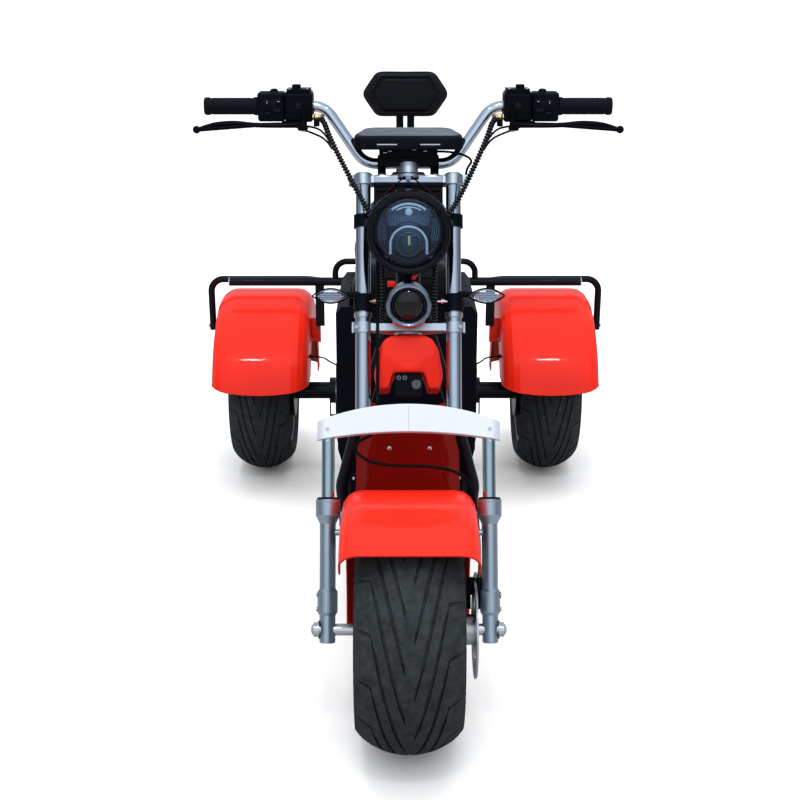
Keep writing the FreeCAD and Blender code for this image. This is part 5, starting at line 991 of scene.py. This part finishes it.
def cushion(name, node, body, cell, slim, reach, rounds, shape, share=(1, 1, 1)):
    """A padded piece: the solid slimmed, blown up, given its channels and kept within a box."""
    mesh = nodes[node].data.copy()
    low = Vector([min(v.co[i] for v in mesh.vertices) for i in range(3)])
    high = Vector([max(v.co[i] for v in mesh.vertices) for i in range(3)])
    middle, half = (low + high) / 2, (high - low) / 2
    for v in mesh.vertices:
        v.co = middle + Vector([(v.co[i] - middle[i]) * (1 - slim / half[i]) for i in range(3)])
    piece = remeshed(name, mesh, cell, rounds)
    swell(piece, reach, share)
    apply(piece, "SUBSURF", levels=1, render_levels=1)
    low -= Vector((0.004, 0.004, 0.0))
    high += Vector((0.004, 0.004, 0.006))
    moved = [v.co + shape(v.co, v.normal, middle) for v in piece.data.vertices]
    for v, to in zip(piece.data.vertices, moved):
        v.co = [min(max(to[i], low[i]), high[i]) for i in range(3)]
    stand_in(piece, LEATHER, body, node)
    return piece


def seam(piece, place, way, radius):
    """Piping laid round a cushion where a plane cuts it."""
    made = bmesh.new()
    made.from_mesh(piece.data)
    whole = made.verts[:] + made.edges[:] + made.faces[:]
    cut = bmesh.ops.bisect_plane(made, geom=whole, plane_co=place, plane_no=way)["geom_cut"]
    beside = {}
    for edge in cut:
        if isinstance(edge, bmesh.types.BMEdge):
            a, b = edge.verts
            beside.setdefault(a, []).append(b)
            beside.setdefault(b, []).append(a)
    here = next(iter(beside))
    loop = [here]
    before = None
    while True:
        ahead = [v for v in beside[here] if v is not before]
        if not ahead or ahead[0] is loop[0]:
            break
        before, here = here, ahead[0]
        loop.append(here)
    points = [v.co + v.normal * (radius * 0.35 * MM) for v in loop][::3]
    made.free()
    count = len(points)
    points = [sum((points[(i + k) % count] for k in range(-2, 3)), Vector()) / 5 for i in range(count)]
    kit.pipe(points + points[:2], radius, PIPING, 8, False)


def dip(away, wide, deep):
    """The depth of a sewn channel at a distance from its line."""
    return deep * math.exp(-(away / wide) ** 2)


def seat_shape(*channels):
    side_line = 0.098

    def shape(co, normal, middle):
        if normal.z < 0.3:
            return Vector()
        deep = sum(dip(co.y - AXLE_Y - c, 0.006, 0.006) for c in channels if abs(co.x) < side_line)
        deep = max(deep, dip(abs(co.x) - side_line, 0.005, 0.005))
        across, along = min(1.0, abs(co.x) / 0.15), min(1.0, abs(co.y - middle.y) / 0.19)
        return Vector((0, 0, 0.006 * (1 - across ** 2) * (1 - along ** 2) - deep))
    return shape


def back_shape(co, normal, middle):
    if normal.y > -0.25:
        return Vector()
    up = abs(co.z - 1.138)
    far = max(up / 0.059, (abs(co.x) + up * 0.627) / 0.120)
    return Vector((0, dip(far - 0.76, 0.05, 0.007) - 0.006 * (1 - smoothstep(0.60, 0.70, far)), 0))


driver = cushion("driver_cushion", "driver_seat", "seat_lid", 0.006, 0.008, 0.008, 6,
                 seat_shape(0.85, 0.90, 0.95, 1.00, 1.05))
pillion = cushion("pillion_cushion", "pillion_seat", "chassis", 0.006, 0.008, 0.008, 6,
                  seat_shape(1.18, 1.23, 1.28, 1.33, 1.38))
rest = cushion("back_cushion", "backrest", "chassis", 0.004, 0.0008, 0.006, 4, back_shape,
               (0.15, 1, 0.15))

kit = Kit()
seam(driver, at(0, 0, 770), Z, 2.8)
seam(driver, at(0, 0, 716), Z, 2.2)
kit.block(at(0, 930, 700.5), (236, 340, 4), BLACK_PLASTIC, 1.5)
kit.done("driver_piping", "seat_lid", "seat_leather", 60)
kit = Kit()
seam(pillion, at(0, 0, 815), Z, 2.8)
seam(pillion, at(0, 0, 716), Z, 2.2)
kit.done("pillion_piping", "chassis", "seat_leather", 60)
kit = Kit()
seam(rest, at(0, 1424, 0), BACKWARD, 2.6)
kit.block(at(0, 1452.5, 1138), (150, 3, 70), BLACK_PLASTIC, 1.2)
for x in (-13, 13):
    for z in (1112, 1160):
        kit.bolt(at(x, 1459.5, z), BACKWARD, 6, "dome", 4)
kit.done("back_piping", "chassis", "seat_leather", 60)

nose = remeshed("nose_shell", nodes["nose_cover"].data.copy(), 0.0022, 14)
stand_in(nose, RED, "chassis", "nose_cover")


# Wheels

def wheel_trim(name, body, x_middle, y_middle, half, valve_side):
    kit = Kit()
    for side in SIDES:
        face = aim((x_middle, y_middle, WHEEL_R), (side, 0, 0))
        kit.lathe(face, [(154.5, half - 4), (156, half + 0.6), (160, half + 0.8),
                         (163.2, half - 1)], STEEL, 96)
        kit.bolt_circle(face, 10, 127, 9.2, 4.2, "socket", 3)
        kit.bolt_circle(face, 5, 52, 9.2, 5.5, "hex", 5)
    face = aim((x_middle, y_middle, WHEEL_R), (valve_side, 0, 0))
    kit.pipe([face @ mm(r, 0, z) for r, z in ((147.5, 30), (142.5, 48), (140, 62))],
             4.2, GRIP_RUBBER, 12)
    kit.lathe(face @ move(140, 0, 60), [(5.2, 0), (5.2, 10), (4, 12), (0, 12)], STEEL, 12)
    kit.done(name, body, "rim_alloy")


wheel_trim("front_wheel_trim", "front_wheel", 0, AXLE_Y, 91.8, -1)
wheel_trim("rear_wheel_trim_left", "rear_wheel_left", -TRACK / 2, REAR_Y, 78.3, -1)
wheel_trim("rear_wheel_trim_right", "rear_wheel_right", TRACK / 2, REAR_Y, 78.3, 1)


# Brake disc and caliper

trees = {}


def touch(name, start, way):
    """Where a straight line meets a CAD surface, and the direction that the surface faces."""
    if name not in trees:
        mesh = nodes[name].data
        faces = [f.vertices[:] for f in mesh.polygons]
        trees[name] = BVHTree.FromPolygons([v.co for v in mesh.vertices], faces)
    place, facing = trees[name].ray_cast(Vector(start), Vector(way).normalized())[:2]
    return (place, facing) if place else trees[name].find_nearest(Vector(start))[:2]


kit = Kit()
face = aim((0, AXLE_Y, WHEEL_R), (1, 0, 0))
for i in range(6):
    kit.bolt(*touch("front_brake_disc", face @ polar(46, 60 * i, 200), (-1, 0, 0)), 4.5, "socket", 3)
kit.done("disc_bolts", "front_wheel", "disc_steel")
kit = Kit()
for back in (24, 66):
    for along in (50, 88):
        kit.bolt(*touch("front_caliper", on_fork(300, back, along), (-1, 0, 0)), 4.2, "socket", 3)
kit.lathe(aim(*touch("front_caliper", on_fork(300, 45, 69), (-1, 0, 0))),
          [(16.5, 0), (16.5, 2.2), (14.5, 3.2), (6, 3.2), (5, 2), (0, 2)],
          BLACK_METAL)
kit.lathe(FORK @ move(134, 34, 98.5),
          [(4.5, 0), (4.5, 6), (3, 8), (3, 12), (0, 12)], STEEL, 12)
kit.done("caliper_trim", "steering", "black_metal")


# Fenders: rolled edges and bolts

def on_fender(middle, y_middle, x, radius, degrees, inset=1.2):
    p = polar(radius - inset, degrees)
    return mm(middle + x, 0, 0) + Vector((0, y_middle + p.x, WHEEL_R + p.y))


def fender_beads(middle, y_middle, rear_end, front_end, bead):
    """Rolled edges: rows of (x, radius, angle) across each end, and the two foot lines between them."""
    for row in (rear_end, front_end):
        row = row + [(-x, r, a) for x, r, a in reversed(row)]
        kit.pipe([on_fender(middle, y_middle, *p) for p in row], bead, RED, 8)
    half, foot, first = rear_end[0]
    last = front_end[0][2]
    for side in SIDES:
        kit.pipe([on_fender(middle, y_middle, half * side, foot, first + (last - first) * i / 48)
                  for i in range(49)], bead, RED, 8)


def end_row(half, radius, corner, foot, degrees):
    row = [(half, foot, degrees)]
    for a in map(math.radians, range(0, 91, 10)):
        row.append((half - corner * (1 - math.cos(a)), radius - corner * (1 - math.sin(a)), degrees))
    return row


kit = Kit()
fender_beads(0, AXLE_Y, end_row(129.8, 274, 38, 211.2, -26.6), end_row(129.8, 274, 38, 211.2, 122.2),
             1.6)
for side in SIDES:
    for degrees in (38, 62):
        kit.bolt(on_fender(0, AXLE_Y, 130.8 * side, 226, degrees, 0), (side, 0, 0), 5, "dome", 3)
kit.done("front_fender_edge", "steering", "red_paint")
kit = Kit()
front_cut = [(138.8, 197.7, 149.3), (138.8, 266.5, 157.7), (136, 284.9, 159.3), (125, 300.4, 160.9),
             (110, 310.8, 162.2), (92, 314.5, 163.1), (44, 314.5, 164.1), (0, 314.5, 164.4)]
for side in SIDES:
    middle = 418 * side
    fender_beads(middle, REAR_Y, end_row(138.8, 314.5, 48, 197.7, 0.3), front_cut, 1.8)
    for degrees in (60, 90, 120):
        kit.bolt(on_fender(middle, REAR_Y, 139.6 * side, 214, degrees, 0), (side, 0, 0), 6, "dome", 3)
        kit.bolt(on_fender(middle, REAR_Y, -139.6 * side, 228, degrees, 0), (-side, 0, 0), 6, "dome", 4)
kit.done("rear_fender_edges", "chassis", "red_paint")

# Front panel, lock and floorboard

kit = Kit()
for x in (-39.5, 46.4):
    kit.bolt(*touch("front_panel", mm(x, -2000, 502), BACKWARD), 5.8, "dome", 4)
# ridges on the front panel, in the darker red of painted shade
for x0, z0, x1, z1, radius in ((-64, 520, -98, 372, 2.2), (62, 520, 98, 372, 2.2),
                               (-90, 330, 90, 330, 2)):
    starts = [mm(x0, -2000, z0).lerp(mm(x1, -2000, z1), i / 14) for i in range(15)]
    kit.pipe([touch("front_panel", p, BACKWARD)[0] for p in starts], radius, PANEL_RED_PAINTED_SHADE, 8)
kit.done("panel_trim", "chassis", "red_paint", 60)

kit = Kit()
for x in (-19.5, -7.5):
    face = aim(*touch("lock_block", on_fork(x, -400, 498.5), FORK_BACK))
    kit.lathe(face, [(4.2, -0.5), (4.2, 1.2), (3.4, 1.2), (3, 0.3)], RIM_CHROME, 20)
    kit.lathe(face, [(3, 0.4), (0, 0.4)], LENS_BLACK, 20)
face = aim(*touch("lock_block", on_fork(15.5, -400, 485), FORK_BACK))
kit.lathe(face, [(10.5, -1), (10.5, 3), (8.5, 4.5), (6, 4.5), (6, 3), (0, 3)],
          DARK_CHROME, 28)
kit.block(face @ move(0, 0, 3.6), (1.6, 7, 1.2), LENS_BLACK, 0.3)
kit.done("lock_trim", "chassis", "black_plastic")

kit = Kit()
for back in [412 + 12.5 * i for i in range(26)]:
    kit.block(at(0, back, 266.2), (214, 5.5, 2.2), GRIP_RUBBER, 0.8)
for side in SIDES:
    kit.block(at(132 * side, 565, 266.2), (14, 330, 2.2), ALUMINIUM, 0.9)
    for back in (415, 565, 715):
        kit.bolt(at(132 * side, back, 267.2), Z, 4.2, "dome", 2.2)
for back in (362, 378, 394):
    kit.block(at(0, back, 266.2), (180, 5.5, 2.2), GRIP_RUBBER, 0.8)
kit.done("floor_ribs", "chassis", "black_rubber")

# Battery housing: side panels, vents, screws, charge port

kit = Kit()
for side in SIDES:
    panel = at(172.2 * side, 934, 440)
    for z in (-10, 6, 22, 38, 54):
        kit.block(panel + mm(1.2 * side, 85, z), (4, 110, 6), BLACK_GLOSS, 1.5)
    rim = []
    for y, z, start in ((150, 85, 0), (-150, 85, 90), (-150, -85, 180), (150, -85, 270)):
        rim += [panel + mm(0.6 * side, y, z) + Vector((0, p.x, p.y))
                for p in arc(16, start, start + 90, 4, 0)]
    kit.pipe(rim + rim[:2], 2.2, BLACK_GLOSS, 8, False)
    for y in (-150, 150):
        for z in (-85, 85):
            kit.bolt(panel + mm(0, y, z), (side, 0, 0), 4.8, "socket", 3)
port = aim(at(-172.2, 850, 452), (-1, 0, 0))
kit.lathe(port, [(21, 0), (21, 4), (18, 6), (16.5, 4.5), (0, 4.5)], GRIP_RUBBER)
kit.block(port @ move(0, 0, 5.5), (8, 26, 3), GRIP_RUBBER)
for z in (300, 352, 404, 456):
    for x in (-110, 110):
        kit.bolt(*touch("battery_housing", mm(x, -300, z), BACKWARD), 4.2, "socket", 3)
for i in range(6):
    face = aim(*touch("battery_housing", mm(0, 1500, 352 + 16 * i), FORWARD))
    kit.block(face @ move(0, 0, 0.5), (120, 5, 3), BLACK_GLOSS)
kit.done("housing_trim", "chassis", "black_plastic")

# Dampers: springs and collars

COILS = 11
kit = Kit()
for side in SIDES:
    foot, top = at(110 * side, 1478, 238.5), at(110 * side, 1452, 685.5)
    run = (top - foot).length / MM
    low, high = 0.20 * run, 0.86 * run
    leg = aim(foot, top - foot)
    steps = 16 * COILS
    coil = [leg @ polar(26.2, 360 * i / 16, low + (high - low) * i / steps) for i in range(steps + 1)]
    kit.pipe(coil, 3.6, RED, 8)
    for height in (low - 6, high + 1):
        kit.lathe(leg, [(22.2, height - 3), (30, height - 2.5), (30, height + 3.5),
                        (22.2, height + 4)], DARK_CHROME, 36)
kit.done("shock_springs", "chassis", "chrome", 60)

# Rear axle and motor

kit = Kit()
profile = [(65.5, 10)]
for along in [14 + 11.5 * i for i in range(9)]:
    profile += [(65.5, along), (70.5, along + 1.2), (70.5, along + 4.2), (65.5, along + 5.4)]
kit.lathe(aim(at(0, 1296, 252), BACKWARD), profile, MOTOR, 72)
face = aim(at(0, 1296, 252), FORWARD)
kit.bolt_circle(face, 6, 55, 0, 4.5, "socket", 3)
kit.lathe(face, [(30, 0), (30, 3), (24, 5), (0, 5.5)], MOTOR)
kit.done("motor_fins", "chassis", "motor_aluminium")
kit = Kit()
for side in SIDES:
    for i in range(8):
        p = polar(69, 45 * (i + 0.5))
        start = mm(150 * side, 0, 235.5) + Vector((0, REAR_Y + p.x, p.y))
        kit.bolt(*touch("axle_housing", start, (-side, 0, 0)), 4.8, "hex", 4)
    axle = aim((0, REAR_Y, WHEEL_R), (side, 0, 0))
    kit.lathe(axle, [(40.5, 338), (43.5, 338.5), (43.5, 340.5), (40.5, 341)], STEEL, 60)
    kit.lathe(axle, [(28.5, 205), (30, 206), (30, 212), (28.5, 213)], CHROME, 48)
kit.bolt(*touch("axle_housing", mm(0, 1600, 225), FORWARD), 8.5, "hex", 6)
kit.done("axle_trim", "chassis", "frame_black")

# Tail lamp: bezel, reflector rows behind the lens

kit = Kit()
BEZEL = 1510.9
for z in (663.5, 707.5):
    kit.block(at(0, BEZEL, z), (122, 22, 4), BLACK_PLASTIC, 1.4)
for x in (-60, 60):
    kit.block(at(x, BEZEL, 685.5), (4, 22, 44), BLACK_PLASTIC, 1.4)
kit.block(at(0, BEZEL - 18, 685.5), (114, 3, 38), REFLECTOR)
for i in range(9):
    for z in (675, 696):
        kit.lathe(aim(at(-48 + 12 * i, BEZEL - 16.5, z), BACKWARD), [(4.8, 0), (4, 4), (0, 6)],
                  REFLECTOR, 14)
kit.done("tail_lamp_inside", "chassis", "chrome")

# Rails: bolts and end rims

kit = Kit()
for side in SIDES:
    start = mm(700 * side, 0, 446) + Vector((0, REAR_Y, 0))
    kit.bolt(*touch("fender_rails", start, (-side, 0, 0)), 6, "dome", 4)
    kit.lathe(aim(at(515.5 * side, 1400, 604), (side, 0, 0)),
              [(10.7, -2), (10.7, 0.8), (12.6, 0.8), (12.8, -2)], STEEL, 36)
    kit.bolt(at(24 * side, 1459.5, 690), BACKWARD, 4.5, "dome", 3)
kit.done("rail_trim", "chassis", "frame_black")

# Floor: white to the camera, grey to the light that it throws back

REACH = 60
mesh = bpy.data.meshes.new("floor")
corners = [(x * REACH, y * REACH, 0) for x, y in ((-1, -1), (1, -1), (1, 1), (-1, 1))]
mesh.from_pydata(corners, [], [(0, 1, 2, 3)])
look = Finish("floor", (0.98, 0.98, 0.98), 0.95).set(Specular_IOR_Level=0.0)
look.mottle(look.noise(3), 0.995, 1.005)
either = look.add("MixShader")
look.link(look.add("LightPath").outputs["Is Camera Ray"], either, "Fac")
look.link(look.add("BsdfDiffuse", Color=(0.30, 0.30, 0.31, 1)).outputs[0], either, 1)
look.link(look.shader.outputs[0], either, 2)
look.link(either.outputs[0], look.tree.nodes["Material Output"], "Surface")
mesh.materials.append(look.material)
new_piece("floor", mesh)

# Sky: white to the camera, with one brightness for diffuse light and another for mirrors

world = bpy.data.worlds.new("studio")
bpy.context.scene.world = world
world.use_nodes = True
world.cycles.sampling_method = "NONE"
tree = world.node_tree
link = tree.links.new
path = new_node(tree, "LightPath")
split = new_node(tree, "SeparateXYZ")
link(new_node(tree, "TexCoord").outputs["Generated"], split.inputs[0])


def slope(axis, low, high, first, last):
    """A brightness that runs from one value to another along an axis of the sky."""
    made = new_node(tree, "MapRange", From_Min=low, From_Max=high, To_Min=first, To_Max=last)
    link(split.outputs[axis], made.inputs["Value"])
    return made.outputs["Result"]


def total(first, second):
    made = new_node(tree, "Math")
    link(first, made.inputs[0])
    link(second, made.inputs[1])
    return made.outputs[0]


def sky(colour, strength=None):
    made = new_node(tree, "Background", Color=(*colour, 1))
    if strength is not None:
        link(strength, made.inputs["Strength"])
    return made.outputs[0]


def choose(ray, first, second):
    made = new_node(tree, "MixShader")
    for i, source in enumerate((path.outputs[ray], first, second)):
        link(source, made.inputs[i])
    return made.outputs[0]


around = sky((0.97, 0.985, 1.0), slope("Z", -0.2, 0.9, 0.5, 1.55))
mirrored_light = total(total(slope("Y", -0.45, -0.98, 0.07, 0.85), slope("Z", 0.0, 0.9, 0.0, 0.7)),
                       slope("Y", 0.60, 0.98, 0.0, 0.35))
shown = choose("Is Glossy Ray", around, sky((0.80, 0.90, 1.0), mirrored_light))
link(choose("Is Camera Ray", shown, sky((1, 1, 1))), tree.nodes["World Output"].inputs["Surface"])


# Lights and camera

def area(name, place, target, size, power, colour=(1, 1, 1)):
    data = bpy.data.lights.new(name, "AREA")
    data.size = size
    data.energy = power
    data.color = colour
    lamp = new_piece(name, data)
    lamp.location = place
    lamp.rotation_euler = (Vector(target) - Vector(place)).to_track_quat("-Z", "Y").to_euler()
    return lamp


area("front_light", at(0, -1900, 4400), (0, 0, 0.5), 0.3, 20, (1.0, 0.99, 0.97))
for side in SIDES:
    area("spark_light", at(1020 * side, -1900, 4400), (0.42 * side, REAR_Y, 0.4), 0.14, 5)
area("top_light", (0.0, 0.3, 4.2), (0, 0, 0), 3.0, 90).visible_glossy = False

FOCAL_PIXELS = 1254
WIDE_PIXELS = 800
data = bpy.data.cameras.new("camera")
data.sensor_width = 36
data.lens = 36 * FOCAL_PIXELS / WIDE_PIXELS
data.clip_start = 0.05
data.clip_end = 200
camera = new_piece("camera", data)
camera.location = at(-21.3, -2190, 1466)
camera.rotation_euler = (math.radians(90 - 18.9), 0, math.radians(-0.1))
bpy.context.scene.camera = camera
bpy.context.scene.view_settings.view_transform = "Standard"
